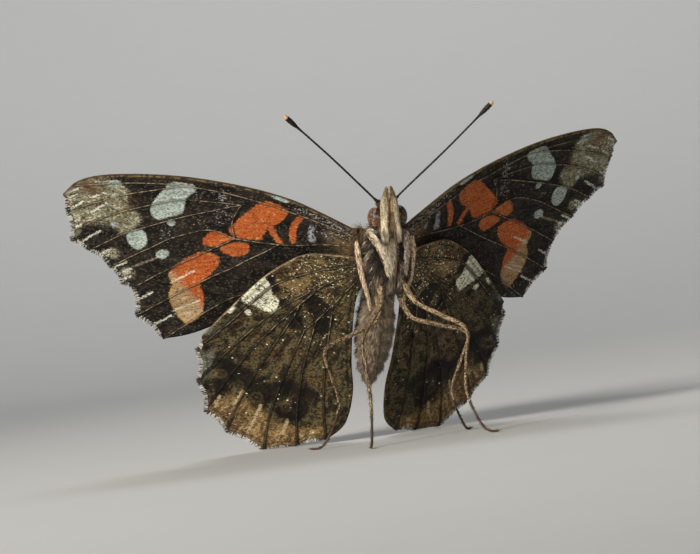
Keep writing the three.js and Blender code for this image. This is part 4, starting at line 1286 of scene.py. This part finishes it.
def coatTint(points, rng, variety=0.3):
    left, fore, up = points.T

    def blend(first, second, share):
        return np.asarray(first) * (1 - share[:, None]) + np.asarray(second) * share[:, None]

    belly = ease(0.2, -1.6, up)
    back = blend(coat["back"], coat["backGold"], rng.random(len(points)))
    clump = lumps(points, coat["clump"], 21) + rng.normal(0, 0.35, len(points))
    chest = blend(coat["chestDark"], coat["chest"], ease(-0.9, 0.7, clump))
    chest = blend(chest, coat["chestPale"], ease(0.65, 1.05, clump) * 0.8)
    bib, gap = bibShare(points)
    # Painted shadow: the strip beside the bib is darkened.
    chest = blend(chest, coat["chestDark"], gap)
    chest = blend(chest, coat["bibTone"], bib * rng.uniform(0.7, 1.0, len(points)))
    thorax = back * (1 - belly[:, None]) + chest * belly[:, None]
    shoulder = ((np.abs(left) - 2.6) / 1.1) ** 2 + ((fore + 1.0) / 2.4) ** 2 + ((up + 0.2) / 1.4) ** 2
    shoulder = np.exp(-shoulder)
    thorax = thorax * (1 - 0.8 * shoulder[:, None]) + np.array(coat["shoulder"]) * 0.8 * shoulder[:, None]
    side = ease(-0.6, -2.2, up)
    abdomen = blend(coat["abdomenBack"], coat["abdomenBelly"], side)
    face = blend(coat["head"], coat["face"], ease(-1.4, -2.6, up))
    toAbdomen = ease(-5.8, -6.6, fore)[:, None]
    toHead = ease(2.2, 3.2, fore)[:, None]
    tint = (thorax * (1 - toAbdomen) + abdomen * toAbdomen) * (1 - toHead) + face * toHead
    return tint * rng.uniform(1 - variety, 1 + variety, (len(points), 1))


# The small front legs are hairy brushes folded down the chest.
brushes = {
    "right": [
        (-1.3, 1.9, -2.0), (-2.35, 2.5, -2.75), (-2.05, 2.1, -4.1), (-1.5, 0.8, -5.15), (-1.08, -0.9, -5.8),
    ],
    "left": [(1.15, 1.7, -2.0), (1.5, 2.2, -3.1), (1.4, 1.5, -4.35), (1.15, 0.4, -5.25), (0.95, -0.9, -5.85)],
    "radii": [(0, 0.18), (0.25, 0.26), (0.6, 0.24), (0.85, 0.13), (1, 0.05)],
    "rings": 60,
    "sides": 12,
    "coat": {"form": "hair", "count": 2400, "length": (0.3, 0.55), "width": (0.035, 0.06), "lift": 0.16},
    "beige": (0.95, 0.77, 0.52),
    "white": (1.0, 0.94, 0.82),
    "dark": (0.1, 0.06, 0.038),
    "fleck": 0.14,         # share of hairs that stay pale on a brush darkened as painted shade
    "share": {"right": 1.0, "left": 0.15},   # 1 leaves a brush pale; the left one is darkened towards dark brown as painted shade
}
# A pale scaled ridge along each flank stands for the upper leg that is folded there.
hipRidge = {
    "joints": [
        (3.1, 0.7, -1.3), (3.1, -0.3, -1.9), (2.95, -1.5, -2.5), (2.65, -3.2, -3.2), (2.1, -5.0, -3.6),
        (1.8, -6.4, -3.7),
    ],
    "radii": [(0, 0.14), (0.12, 0.26), (0.5, 0.22), (0.9, 0.16), (1, 0.06)],
    "rings": 60,
    "sides": 12,
    "coat": {"form": "scale", "count": 2200, "length": (0.2, 0.4), "width": (0.045, 0.08), "lift": 0.12},
    "pale": (0.78, 0.6, 0.4),
    "brown": (0.17, 0.095, 0.06),
}


# Bare stretches under the front legs and the hip ridges, where longer hair would hide them.
bareReach = 0.62


def underLimbs(points):
    runs = [np.array(brushes[sideName]) for sideName in ("left", "right")]
    runs += [np.array(hipRidge["joints"]) * (side, 1, 1) for side in (1, -1)]
    return np.min([runDistance(points, run) for run in runs], axis=0) < bareReach


def skinFinish():
    f = Finish("bodySkin", 0.55, 0.2)
    distance, random = f.cells(f.here(), 9000.0)[:2]
    f.color = f.mix(f.field("tint", "Color"), (0.012, 0.009, 0.007), f.times(random, 0.5))
    f.bump(f.times(distance, -1.0), 0.6, 0.00005)
    return f.done()


skinVerts, skinTris = bodySkin()
first, last = trunk["segmentSpan"]
segment = (skinVerts[:, 1] - first) / ((first - last) / trunk["segments"])
grooves = trunk["grooveDepth"] * np.cos(segment * 2 * math.pi)
grooves = grooves * ease(first, first - 1.2, skinVerts[:, 1]) * ease(last, last + 1.4, skinVerts[:, 1])
skinMesh = newMesh("body_skin", toRow(skinVerts), skinTris)
normals = np.zeros(len(skinVerts) * 3)
skinMesh.vertices.foreach_get("normal", normals)
skinVertsRow = toRow(skinVerts) - normals.reshape(-1, 3) * grooves[:, None] * mm
skinMesh.vertices.foreach_set("co", skinVertsRow.astype(np.float32).ravel())
skinMesh.update()
skinVerts = fromRow(skinVertsRow)
skinShade = coat["skinShade"] + coat["bibShade"] * bibShare(skinVerts)[0]
keepTint(skinMesh, coatTint(skinVerts, np.random.default_rng(3), 0.1) * skinShade[:, None])
keepUnwrap(skinMesh, bodyUnwrap(skinVerts))
newPiece(skinMesh, skinFinish(), "body_fur", "thorax", "abdomen", "head")
print(f"stage: skin, {len(skinTris)} triangles")

hairMaterial = tintedFinish("bodyHair", 0.5, 0.3)
eyes = {
    "centre": (1.32, 3.42, -1.55),
    "reach": (0.78, 1.14, 1.15),
    "facetLevel": 5,
    "facetRise": 0.012,
    "facetInner": 0.72,    # how far each dome's foot reaches to the facet's corners
    "fit": 0.985,
}


def outwardNormals(points, normals):
    centre = points.copy()
    centre[:, 0] = 0
    centre[:, 2] = -1.4
    flip = np.einsum("ij,ij->i", normals, points - centre) < 0
    normals[flip] *= -1
    return normals


def insideEye(points, grow):
    inside = np.zeros(len(points), bool)
    for side in (1, -1):
        centre = onHead([np.array(eyes["centre"]) * (side, 1, 1)])[0]
        inside |= np.linalg.norm((points - centre) / (np.array(eyes["reach"]) + grow), axis=1) < 1
    return inside


# Coats of hair and scales. They lie outward by a share of their distance from the middle, then fore and up.
hairCoats = {
    "thorax_hair": {
        "count": 19800, "length": (0.8, 1.7), "width": 0.05, "lift": 0.42, "lie": (0.15, -1.0, -0.25),
        "grows": lambda p: (p[:, 1] < 3.1) & (p[:, 1] > -6.6) & ~underLimbs(p),
        "seed": 5, "slot": "body_fur",
    },
    "bib_hair": {
        "count": 3400, "length": (1.1, 1.9), "width": 0.05, "lift": 0.75, "lie": (0.1, -1.0, 0.0),
        "grows": lambda p: bibShare(p)[0] > 0.4,
        "seed": 8, "slot": "body_fur", "brown": 0.16,
    },
    "abdomen_scales": {
        "count": 12300, "length": (0.5, 0.85), "width": 0.068, "lift": 0.22, "lie": (0.02, -1.0, 0.0),
        "grows": lambda p: p[:, 1] < -6.0,
        "seed": 6, "slot": "abdomen_scales", "form": "scale",
    },
    "head_hair": {
        "count": 8000, "length": (0.35, 0.65), "width": 0.035, "lift": 0.5, "lie": (0.1, 0.6, 0.5),
        "grows": lambda p: (p[:, 1] > 2.6) & ~insideEye(p, 0.12),
        "seed": 7, "slot": "head_fur",
    },
}


def growHair(name, spec):
    rng = np.random.default_rng(spec["seed"])
    roots, normals = scatter(rng, skinVerts, skinTris, spec["count"], spec["grows"])
    normals = outwardNormals(roots, normals)
    outward, fore, up = spec["lie"]
    lie = np.stack([roots[:, 0] * outward, np.full(len(roots), fore), np.full(len(roots), up)], 1)
    lie = unit(lie - normals * np.einsum("ij,ij->i", lie, normals)[:, None])
    wild = rng.normal(0, 0.22, roots.shape)
    starts = unit(normals * (spec["lift"] + 0.25) + lie + wild)
    ends = unit(normals * spec["lift"] * 0.15 + lie + wild * 1.2)
    lengths = rng.uniform(*spec["length"], len(roots)) * (1 - 0.45 * np.maximum(*bibShare(roots)))
    tints = coatTint(roots, rng, 0.45)
    tints[rng.random(len(roots)) < spec.get("brown", 0)] *= 0.3
    widths = spec["width"] * rng.uniform(0.7, 1.2, len(roots))
    blades(name, toRow(roots) / mm, turnToRow(starts), turnToRow(ends), lengths, widths, turnToRow(normals),
           tints, bodyUnwrap(roots), hairMaterial, spec["slot"], spec.get("form", "hair"))


for name, spec in hairCoats.items():
    growHair(name, spec)
print("stage: coat")


# Eyes: domes of many small facets, mottled brown, with painted glints.
def eyeFinish():
    f = Finish("eyeFacets", 0.38, 0.35)
    place = f.here()
    mottled = f.step(f.noise(place, 2600.0, 2.0), 0.44, 0.6)
    f.color = f.mix((0.009, 0.005, 0.003), (0.1, 0.045, 0.021), mottled)
    random = f.cells(place, 5000.0)[1]
    # Scattered pale facets are painted glints.
    f.lay((0.3, 0.17, 0.1), f.step(f.plus(random, f.times(f.noise(place, 1500.0), 0.6)), 0.98, 1.14), 0.7)
    f.put(f.shader.inputs["Coat Weight"], 0.15)
    f.put(f.shader.inputs["Coat Roughness"], 0.25)
    return f.done()


def facetedEye(name, side, material):
    ico = bmesh.new()
    bmesh.ops.create_icosphere(ico, subdivisions=eyes["facetLevel"], radius=1.0)
    ico.faces.ensure_lookup_table()
    centres = np.array([f.calc_center_median()[:] for f in ico.faces])
    centres /= np.linalg.norm(centres, axis=1, keepdims=True)
    verts, tris = list(centres), []
    for corner in ico.verts:
        ring = [f.index for f in corner.link_faces]
        axis = np.array(corner.co[:])
        axis /= np.linalg.norm(axis)
        across = unit(centres[ring[0]] - axis)
        over = np.cross(axis, across)
        ring.sort(key=lambda k: math.atan2((centres[k] - axis) @ over, (centres[k] - axis) @ across))
        hub = len(verts)
        verts.append(axis * (1 + eyes["facetRise"]))
        inner = eyes["facetInner"]
        verts += [(centres[k] * inner + axis * (1 - inner)) * (1 + eyes["facetRise"] * 0.85) for k in ring]
        for i, k in enumerate(ring):
            j = (i + 1) % len(ring)
            foot, following = hub + 1 + i, hub + 1 + j
            tris += [(k, ring[j], following), (k, following, foot), (foot, following, hub)]
    ico.free()
    verts = np.array(verts) * eyes["reach"] * eyes["fit"]
    verts = verts + np.array(eyes["centre"]) * (side, 1, 1)
    mesh = newMesh(name + "_facets", toRow(onHead(verts)), np.array(tris)[:, ::-1])
    newPiece(mesh, material, "eye", name)


eyeMaterial = eyeFinish()
facetedEye("eye_left", 1, eyeMaterial)
facetedEye("eye_right", -1, eyeMaterial)
print("stage: eyes")


# Palps, feelers, tongue and legs are swept along the same joints as their solids.
def limbPath(joints, side, count, placed=lambda points: points):
    points = placed(np.array(joints, float) * (side, 1, 1))
    return toRow(jointedPath(points, count)) / mm


def sweptPiece(name, path, radii, sides, material, slot, *replaced, squash=1.0):
    rings = sweep(path, radii, sides, squash)
    verts, tris = closedRings(rings)
    mesh = newMesh(name, verts * mm, tris)
    turn = np.append(np.tile(np.linspace(0, 1, sides, endpoint=False), len(path)), (0.5, 0.5))
    along = np.append(np.repeat(np.linspace(0, 1, len(path)), sides), (0, 1))
    keepUnwrap(mesh, np.stack([0.03 + 0.9 * turn, 0.03 + 0.9 * along], 1))
    return newPiece(mesh, material, slot, *replaced), rings


def shareCurve(pairs, count):
    shares, values = zip(*pairs)
    return np.interp(np.linspace(0, 1, count), shares, values)


def coverLimb(name, rings, coat, seed, tintOf, material, slot):
    rng = np.random.default_rng(seed)
    count = coat["count"]
    verts, tris = closedRings(rings)
    roots = scatter(rng, verts, tris, count)[0]
    centres = rings.mean(1)
    nearest = np.argmin(np.linalg.norm(roots[:, None] - centres[None], axis=2), axis=1)
    along = unit(np.gradient(centres, axis=0))[nearest]
    outward = unit(roots - centres[nearest])
    wild = rng.normal(0, 0.12, roots.shape)
    starts = unit(along + outward * (coat["lift"] + 0.15) + wild)
    ends = unit(along + outward * coat["lift"] * 0.2 + wild)
    share = nearest / (len(rings) - 1)
    lengths = rng.uniform(*coat["length"], count)
    widths = rng.uniform(*coat["width"], count)
    unwrap = np.stack([0.03 + 0.93 * rng.random(count), 0.03 + 0.93 * share], 1)
    tints = tintOf(share, outward, rng)
    blades(name, roots, starts, ends, lengths, widths, outward, tints, unwrap, material, slot, coat["form"])


# A plain swept core under a coat of scales or hairs, which may leave its ends bare.
def coatedLimb(coreName, coatName, path, spec, seed, tone, tintOf, material, slot, *replaced,
               covered=slice(None)):
    radii = shareCurve(spec["radii"], spec["rings"])
    piece, rings = sweptPiece(coreName, path, radii, spec["sides"], material, slot, *replaced)
    keepTint(piece.data, tone)
    coverLimb(coatName, rings[covered], spec["coat"], seed, tintOf, material, slot)
    return rings


# The palps stand before the face like a beak: cream below and outside, with a brown tip.
palps = {
    "joints": [
        (0.7, 2.45, -3.45), (0.64, 3.4, -3.0), (0.57, 4.4, -2.55), (0.52, 6.0, -2.15), (0.3, 7.15, -1.95),
    ],
    "radii": [(0, 0.26), (0.12, 0.36), (0.5, 0.4), (0.66, 0.34), (0.76, 0.22), (0.92, 0.12), (1, 0.03)],
    "closer": 0.06,        # their scales all but meet in the middle
    "rings": 60,
    "sides": 18,
    "coat": {"form": "scale", "count": 3800, "length": (0.22, 0.4), "width": (0.05, 0.09), "lift": 0.22},
    "cream": (0.74, 0.63, 0.4),
    "brown": (0.15, 0.095, 0.055),
    "tip": (0.3, 0.2, 0.075),
    "gold": (0.42, 0.26, 0.1),
    "hairs": (0.84, 0.7, 0.49),
    "streak": (0.62, 0.64, 0.72),    # dusky lines run along them
    # painted shade: the left palp and its hairs are darker than the right ones
    "paintedShadeFactor": {"right": 0.98, "left": 0.8},
    # hairs across the gap between them, and hairs from their roots down
    "bridge": {"count": 420, "from": 0.34, "to": 0.85, "length": (0.28, 0.5), "tone": "gold"},
    "beard": {"count": 1700, "from": 0.02, "to": 0.24, "length": (0.5, 1.3), "tone": "hairs"},
    "hairWidth": (0.03, 0.05),
}
palpMaterial = tintedFinish("palpScales", 0.6, 0.2)


def hornFinish():
    f = Finish("darkHorn", 0.45, 0.25)
    place = f.here()
    f.color = f.mix((0.02, 0.012, 0.008), (0.07, 0.036, 0.018), f.step(f.noise(place, 900.0), 0.4, 0.7))
    f.bump(f.noise(place, 8000.0), 0.3, 0.00003)
    return f.done()


hornMaterial = hornFinish()


def palpTint(sideName, inner):
    upper = turnToRow([(0, 0.4, 0.9)])[0]

    def tint(share, outward, rng):
        count = len(share)
        facing = outward @ inner
        turn = np.arctan2(outward @ upper, facing)
        tints = np.tile(palps["cream"], (count, 1)) * rng.uniform(0.6, 1.1, (count, 1))

        def repaint(where, tone, low, high):
            tints[where] = np.array(palps[tone]) * rng.uniform(low, high, (where.sum(), 1))

        streaked = np.sin(turn * 9 + share * 4) + rng.normal(0, 0.35, count) > 0.5
        tints[streaked] *= palps["streak"]
        repaint((facing > 0.5) & (rng.random(count) < 0.7), "gold", 0.6, 1.3)
        repaint((outward @ upper > 0.3) | (facing > 0.35) & (share < 0.45), "brown", 0.7, 1.8)
        repaint(share > 0.78, "tip", 0.6, 1.4)
        repaint((rng.random(count) < 0.14) & (share > 0.1), "brown", 0.8, 1.5)
        # The left palp is darkened here as painted shade.
        return tints * palps["paintedShadeFactor"][sideName]

    return tint


def palpHairs(name, spec, rings, heading, allowed, rng, paintedShadeFactor):
    centres = rings.mean(1)
    rows = rng.integers(int(palps["rings"] * spec["from"]), int(palps["rings"] * spec["to"]), spec["count"])
    turns = rng.integers(0, palps["sides"], spec["count"])
    outward = unit(rings[rows, turns] - centres[rows])
    keep = allowed(outward)
    rows, turns, outward = rows[keep], turns[keep], outward[keep]
    count = len(rows)
    starts = heading[rows] + outward * 0.35 + rng.normal(0, 0.12, outward.shape)
    # Its hairs take the same painted shade.
    tints = np.tile(palps[spec["tone"]], (count, 1)) * rng.choice((0.3, 0.75, 0.95, 1.2), (count, 1)) * paintedShadeFactor
    lengths = rng.uniform(*spec["length"], count)
    widths = rng.uniform(*palps["hairWidth"], count)
    unwrap = np.stack([rng.uniform(0.05, 0.95, count), rows / palps["rings"]], 1)
    blades(name, rings[rows, turns], starts, heading[rows] + 0.05 * outward, lengths, widths, outward, tints,
           unwrap, palpMaterial, "palp_scales")


for sideName, side in (("left", 1), ("right", -1)):
    inner, down = turnToRow([(-side, 0, 0), (-side * 0.14, -1, -0.6)])
    joints = np.array(palps["joints"]) - (palps["closer"], 0, 0)
    path = limbPath(joints, side, palps["rings"], onHead)
    name = "palp_" + sideName
    rings = coatedLimb(name + "_core", name + "_scales", path, palps, 40 + side,
                       np.array(palps["cream"]) * 0.5, palpTint(sideName, inner), palpMaterial,
                       "palp_scales", name)
    rng = np.random.default_rng(47 + side)
    along = unit(np.gradient(rings.mean(1), axis=0))
    paintedShadeFactor = palps["paintedShadeFactor"][sideName]
    palpHairs(name + "_bridge", palps["bridge"], rings, along * 0.8 + inner * 0.5,
              lambda outward: outward @ inner > 0.45, rng, paintedShadeFactor)
    palpHairs(name + "_beard", palps["beard"], rings, np.tile(down, (palps["rings"], 1)),
              lambda outward: (outward[:, 2] < 0.5) & (outward @ inner < 0.3), rng, paintedShadeFactor)

# The tongue hangs before the chest.
tongue = {
    "joints": [
        (0, 3.3, -2.6), (0.12, 2.7, -3.4), (0.1, 1.9, -4.35), (0, 0.9, -5.1),
        (-0.2, -0.6, -5.8), (-0.4, -2.8, -6.4), (-0.55, -5.2, -7.1),
    ],
    "radii": [(0, 0.15), (0.5, 0.12), (0.85, 0.1), (0.97, 0.06), (1, 0.03)],
    "ripples": 90,
    "rings": 361,
    "sides": 14,
}
tongueRadii = shareCurve(tongue["radii"], tongue["rings"])
ripple = 1 + 0.07 * np.cos(np.linspace(0, 2 * math.pi * tongue["ripples"], tongue["rings"]))
sweptPiece("proboscis_horn", limbPath(tongue["joints"], 1, tongue["rings"]), tongueRadii * ripple,
           tongue["sides"], hornMaterial, "proboscis_horn", "proboscis", squash=0.8)

# Feelers: ringed dark rods, with a club that ends in a pale tip.
feelers = {
    "left": {"side": 1, "bow": (0.3, 0.05, 0.1), "tip": (11.2, 15.2, 0.2)},
    "right": {"side": -1, "bow": (-0.05, 0.2, 0.1), "tip": (-11.2, 14.7, 2.0)},
    "root": (0.55, 4.6, -0.95),
    "collar": (1.15, 5.25, -0.8),
    "segments": 38,
    "ringsEach": 8,
    "sides": 14,
    "radii": [
        (0, 0.2), (0.02, 0.2), (0.06, 0.19), (0.075, 0.125), (0.8, 0.115), (0.86, 0.15), (0.9, 0.27),
        (0.94, 0.31), (0.975, 0.28), (0.992, 0.16), (1, 0.04),
    ],
}


def feelerFinish():
    f = Finish("feelerHorn", 0.55, 0.25)
    along = f.field("along")
    grain = f.noise(f.here(), 5000.0)
    joint = f.calc("FRACT", f.times(along, float(feelers["segments"])))
    f.color = f.mix((0.006, 0.005, 0.0045), (0.03, 0.022, 0.016), f.step(grain, 0.45, 0.7))
    f.lay((0.3, 0.24, 0.17), f.times(f.step(joint, 0.16, 0.06), f.step(along, 0.84, 0.8)), 0.25)
    f.lay((0.6, 0.36, 0.17), f.step(f.plus(along, f.times(grain, 0.01)), 0.972, 0.982))
    f.bump(grain, 0.3, 0.00003)
    return f.done()


feelerMaterial = feelerFinish()
for sideName in ("left", "right"):
    spec = feelers[sideName]
    root, collar = onHead(np.array([feelers["root"], feelers["collar"]]) * (spec["side"], 1, 1))
    tip = np.array(spec["tip"])
    middle = (collar + tip) / 2 + np.array(spec["bow"])
    count = feelers["segments"] * feelers["ringsEach"] + 1
    share = np.linspace(0, 1, count)
    radii = shareCurve(feelers["radii"], count)
    beads = 1 - 0.13 * np.exp(-(((share * feelers["segments"]) % 1 - 0.1) / 0.1) ** 2)
    piece, rings = sweptPiece(
        f"antenna_{sideName}_rod", limbPath([root, collar, middle, tip], 1, count), radii * beads,
        feelers["sides"], feelerMaterial, "antenna_horn", "antenna_" + sideName, squash=0.9)
    keepField(piece.data, "along", np.append(np.repeat(share, feelers["sides"]), (0, 1)))
print("stage: head parts")

# Legs stand on the floor. Their joints are in the row's own frame, in millimetres.
legs = {
    "femur": 6.6,
    "tibia": 6.6,
    "mid": {
        "root": (1.2, -2.6, -4.2), "hip": (1.9, -3.1, 14.5), "ankle": (5.3, -6.4, 4.4),
        "toe": [(6.2, -7.9, 0.6), (6.6, -8.7, 0.17), (7.0, -9.85, 0.17)], "bend": (0.6, -0.7, 0.5),
    },
    "hind": {
        "root": (1.1, -4.4, -3.4), "hip": (1.9, -1.5, 12.9), "ankle": (6.4, 0.8, 4.4),
        "toe": [(7.9, 2.3, 0.6), (8.4, 2.8, 0.17), (9.25, 3.65, 0.17)], "bend": (1, -0.3, 0.4),
    },
    "radii": [
        (0, 0.3), (0.12, 0.24), (0.16, 0.16), (0.2, 0.19), (0.32, 0.2), (0.42, 0.16), (0.452, 0.115),
        (0.47, 0.13), (0.6, 0.145), (0.7, 0.135), (0.725, 0.1), (0.75, 0.13), (0.80, 0.13), (0.805, 0.1),
        (0.82, 0.125), (0.86, 0.13), (0.865, 0.1), (0.88, 0.13), (0.92, 0.125), (0.925, 0.1), (0.94, 0.125),
        (0.99, 0.11), (1, 0.05),
    ],
    "rings": 240,
    "sides": 14,
    "scaled": slice(8, 182),         # its rings under scales; the foot is bare
    "spined": (118, 236, 3),         # first and last ring with spines, and the step
    "longSpines": 172,               # spines before this ring are long
    "coat": {"form": "scale", "count": 3400, "length": (0.16, 0.3), "width": (0.05, 0.08), "lift": 0.08},
    "pale": (0.46, 0.335, 0.185),
    "brown": (0.075, 0.044, 0.026),
    "spineTone": (0.035, 0.025, 0.02),
}


def kneeBetween(hip, ankle, bend):
    span = ankle - hip
    reach = np.linalg.norm(span)
    near = (legs["femur"] ** 2 - legs["tibia"] ** 2 + reach**2) / (2 * reach)
    rise = math.sqrt(max(0.0, legs["femur"] ** 2 - near**2))
    span = span / reach
    off = unit(bend - span * (bend @ span))
    return hip + span * near + off * rise


def legTint(share, outward, rng):
    count = len(share)
    shaded = (outward[:, 1] > 0.2) | (rng.random(count) < 0.47)
    tints = np.where(shaded[:, None], legs["brown"], legs["pale"])
    return tints * rng.uniform(0.7, 1.2, (count, 1))


legMaterial = tintedFinish("legScales", 0.6, 0.2)


def walkingLeg(kind, sideName, side):
    spec = legs[kind]
    start = (toRow([spec["root"]]) / mm)[0]
    lift = np.array((0, stance["rootDepth"], 0))
    hip, ankle = (np.array(spec[k]) + lift for k in ("hip", "ankle"))
    knee = kneeBetween(hip, ankle, np.array(spec["bend"], float))
    toes = [np.array(t) + lift for t in spec["toe"]]
    joints = np.array([start, hip, (hip + knee) / 2, knee, (knee + ankle) / 2, ankle, *toes]) * (side, 1, 1)
    name = f"{kind}leg_{sideName}"
    seed = 60 + side * 3 + len(kind)
    rings = coatedLimb(name + "_core", name + "_scales", jointedPath(joints, legs["rings"]), legs, seed,
                       legs["brown"], legTint, legMaterial, "leg_scales", name, covered=legs["scaled"])
    legSpines(name, rings, seed)


# Spines along the shin and foot, and two claws at its end.
def legSpines(name, rings, seed):
    rng = np.random.default_rng(seed)
    centres = rings.mean(1)
    along = unit(np.gradient(centres, axis=0))
    rows = np.repeat(np.arange(*legs["spined"]), 4)
    roots = rings[rows, rng.integers(0, legs["sides"], len(rows))]
    outward = unit(roots - centres[rows])
    directions = unit(along[rows] + outward * 0.75)
    lengths = np.where(rows < legs["longSpines"], 0.42, 0.26) * rng.uniform(0.8, 1.15, len(rows))
    keep = roots[:, 2] + directions[:, 2] * lengths >= 0.03
    foot, ahead = centres[-1], along[-2]
    across = unit(np.cross(ahead, (0, 0, 1)))
    hooks = across * np.array([[-1], [1]])
    roots = np.vstack([roots[keep], foot - ahead * 0.1 + hooks * 0.05])
    starts = np.vstack([directions[keep], unit(ahead + hooks * 0.5 + (0, 0, 0.35))])
    ends = np.vstack([directions[keep], unit(ahead + hooks * 0.3 - (0, 0, 0.45))])
    lengths = np.append(lengths[keep], (0.4, 0.4))
    widths = np.append(np.full(keep.sum(), 0.05), (0.08, 0.08))
    facing = np.vstack([outward[keep], np.tile((0, 0, 1.0), (2, 1))])
    tints = np.tile(legs["spineTone"], (len(roots), 1))
    unwrap = np.stack([rng.uniform(0.1, 0.9, len(roots)), rng.uniform(0.1, 0.9, len(roots))], 1)
    blades(name + "_spines", roots, starts, ends, lengths, widths, facing, tints, unwrap, legMaterial,
           "leg_scales", "spine")


for sideName, side in (("left", 1), ("right", -1)):
    walkingLeg("mid", sideName, side)
    walkingLeg("hind", sideName, side)


def brushTint(side, share):
    inner = turnToRow([(-side, 0, 0)])[0]

    def tint(along, outward, rng):
        count = len(along)
        facing = outward @ inner + rng.normal(0, 0.15, count)
        tints = np.tile(brushes["beige"], (count, 1))
        tints[facing > 0.15] = brushes["white"]
        tints[(facing < -0.85) | (rng.random(count) < 0.08)] = brushes["dark"]
        # Painted shade: a low share darkens the hairs towards dark brown.
        pale = np.where(rng.random((count, 1)) < brushes["fleck"], max(share, 0.7), share)
        tints = np.array(brushes["dark"]) * (1 - pale) + tints * pale
        return tints * rng.uniform(0.65, 1.15, (count, 1))

    return tint


def ridgeTint(share, outward, rng):
    count = len(share)
    dusky = rng.random(count) < 0.3
    return np.where(dusky[:, None], hipRidge["brown"], hipRidge["pale"]) * rng.uniform(0.6, 1.1, (count, 1))


for sideName, side in (("left", 1), ("right", -1)):
    # The left brush and its core are darkened by its share, as painted shade.
    name, share = "foreleg_" + sideName, brushes["share"][sideName]
    coatedLimb(name + "_core", name + "_brush", limbPath(brushes[sideName], 1, brushes["rings"]), brushes,
               80 + side, np.array(brushes["beige"]) * 0.6 * share, brushTint(side, share), legMaterial,
               "leg_scales", name)
    name = "hip_" + sideName
    coatedLimb(name + "_ridge", name + "_scales", limbPath(hipRidge["joints"], side, hipRidge["rings"]),
               hipRidge, 90 + side, hipRidge["brown"], ridgeTint, legMaterial, "leg_scales")
print("stage: legs")

# A pale floor that curves up all round. The key light is the sun's side, and a small one warms the chest.
studio = {
    "flat": 0.5,
    "rim": 2.4,
    "height": 1.6,
    "tone": (0.64, 0.64, 0.62),
    "key": {
        "from": (-0.8, -0.55, 0.33), "distance": 0.9, "size": 0.2, "power": 47.0, "color": (1.0, 0.96, 0.9),
        "aim": (0, 0, 0.015), "cone": 30.0,   # degrees, so the floor under the lamp stays even
    },
    "chest": {
        "from": (-0.35, -1.0, 0.25), "distance": 0.6, "size": 0.008, "power": 7.0, "color": (1.0, 0.95, 0.87),
        "aim": (-0.0003, -0.008, 0.018), "cone": 1.6,
    },
    "fill": {
        "from": (0.8, -0.7, 0.7), "distance": 1.1, "size": 0.8, "power": 0.08, "color": (0.92, 0.96, 1.0),
        "aim": (0, 0, 0.015),
    },
    "top": {
        "from": (0.1, 0.6, 1.0), "distance": 1.2, "size": 0.9, "power": 1.5, "color": (1.0, 1.0, 1.0),
        "aim": (0, 0, 0.015),
    },
    "back": {
        "from": (0.0, -0.25, 1.0), "distance": 1.1, "size": 0.9, "power": 8.0, "color": (1.0, 1.0, 1.0),
        "aim": (0.4, 1.35, 0.15),
    },
    "world": 0.115,
}


def buildFloor():
    sides, rows = 96, 40
    radius = np.append([0.02, 0.2], np.linspace(studio["flat"], studio["rim"], rows))
    share = np.clip((radius - studio["flat"]) / (studio["rim"] - studio["flat"]), 0, 1)
    height = studio["height"] * (1 - np.sqrt(np.maximum(0, 1 - share**2)))
    turn = around(sides)
    rings = np.stack([radius[:, None] * np.cos(turn), radius[:, None] * np.sin(turn),
                      np.repeat(height[:, None], sides, 1)], 2)
    verts = np.vstack([rings.reshape(-1, 3), [(0, 0, 0)]])
    a, b = walls(len(radius), sides)
    i = np.arange(sides)
    tris = np.vstack([
        np.stack([a, a + sides, b], 1), np.stack([b, a + sides, b + sides], 1),
        np.stack([i, (i + 1) % sides, np.full(sides, len(verts) - 1)], 1),
    ])
    mesh = newMesh("floor", verts, tris)
    f = Finish("paleFloor", 0.9, 0.1)
    f.color = f.mix(studio["tone"], tuple(c * 0.97 for c in studio["tone"]), f.noise(f.here(), 60.0, 4.0))
    mesh.materials.append(f.done())
    newObject("floor", mesh)


def buildLight(name):
    spec = studio[name]
    if "cone" in spec:
        data = bpy.data.lights.new(name, "SPOT")
        data.spot_size = math.radians(spec["cone"])
        data.spot_blend = 1.0
        data.shadow_soft_size = spec["size"] / 2
    else:
        data = bpy.data.lights.new(name, "AREA")
        data.shape = "DISK"
        data.size = spec["size"]
    data.energy = spec["power"]
    data.color = spec["color"]
    light = newObject(name, data)
    away = Vector(spec["from"]).normalized()
    light.location = away * spec["distance"] + Vector(spec["aim"])
    light.rotation_mode = "QUATERNION"
    light.rotation_quaternion = away.to_track_quat("Z", "Y")
    light.visible_camera = False


buildFloor()
for name in ("key", "chest", "fill", "top", "back"):
    buildLight(name)
world = bpy.data.worlds.new("studio")
world.use_nodes = True
world.node_tree.nodes["Background"].inputs[0].default_value = (0.95, 0.97, 1.0, 1)
world.node_tree.nodes["Background"].inputs[1].default_value = studio["world"]
bpy.context.scene.world = world
bpy.context.scene.view_settings.view_transform = "Standard"
print("stage: studio")
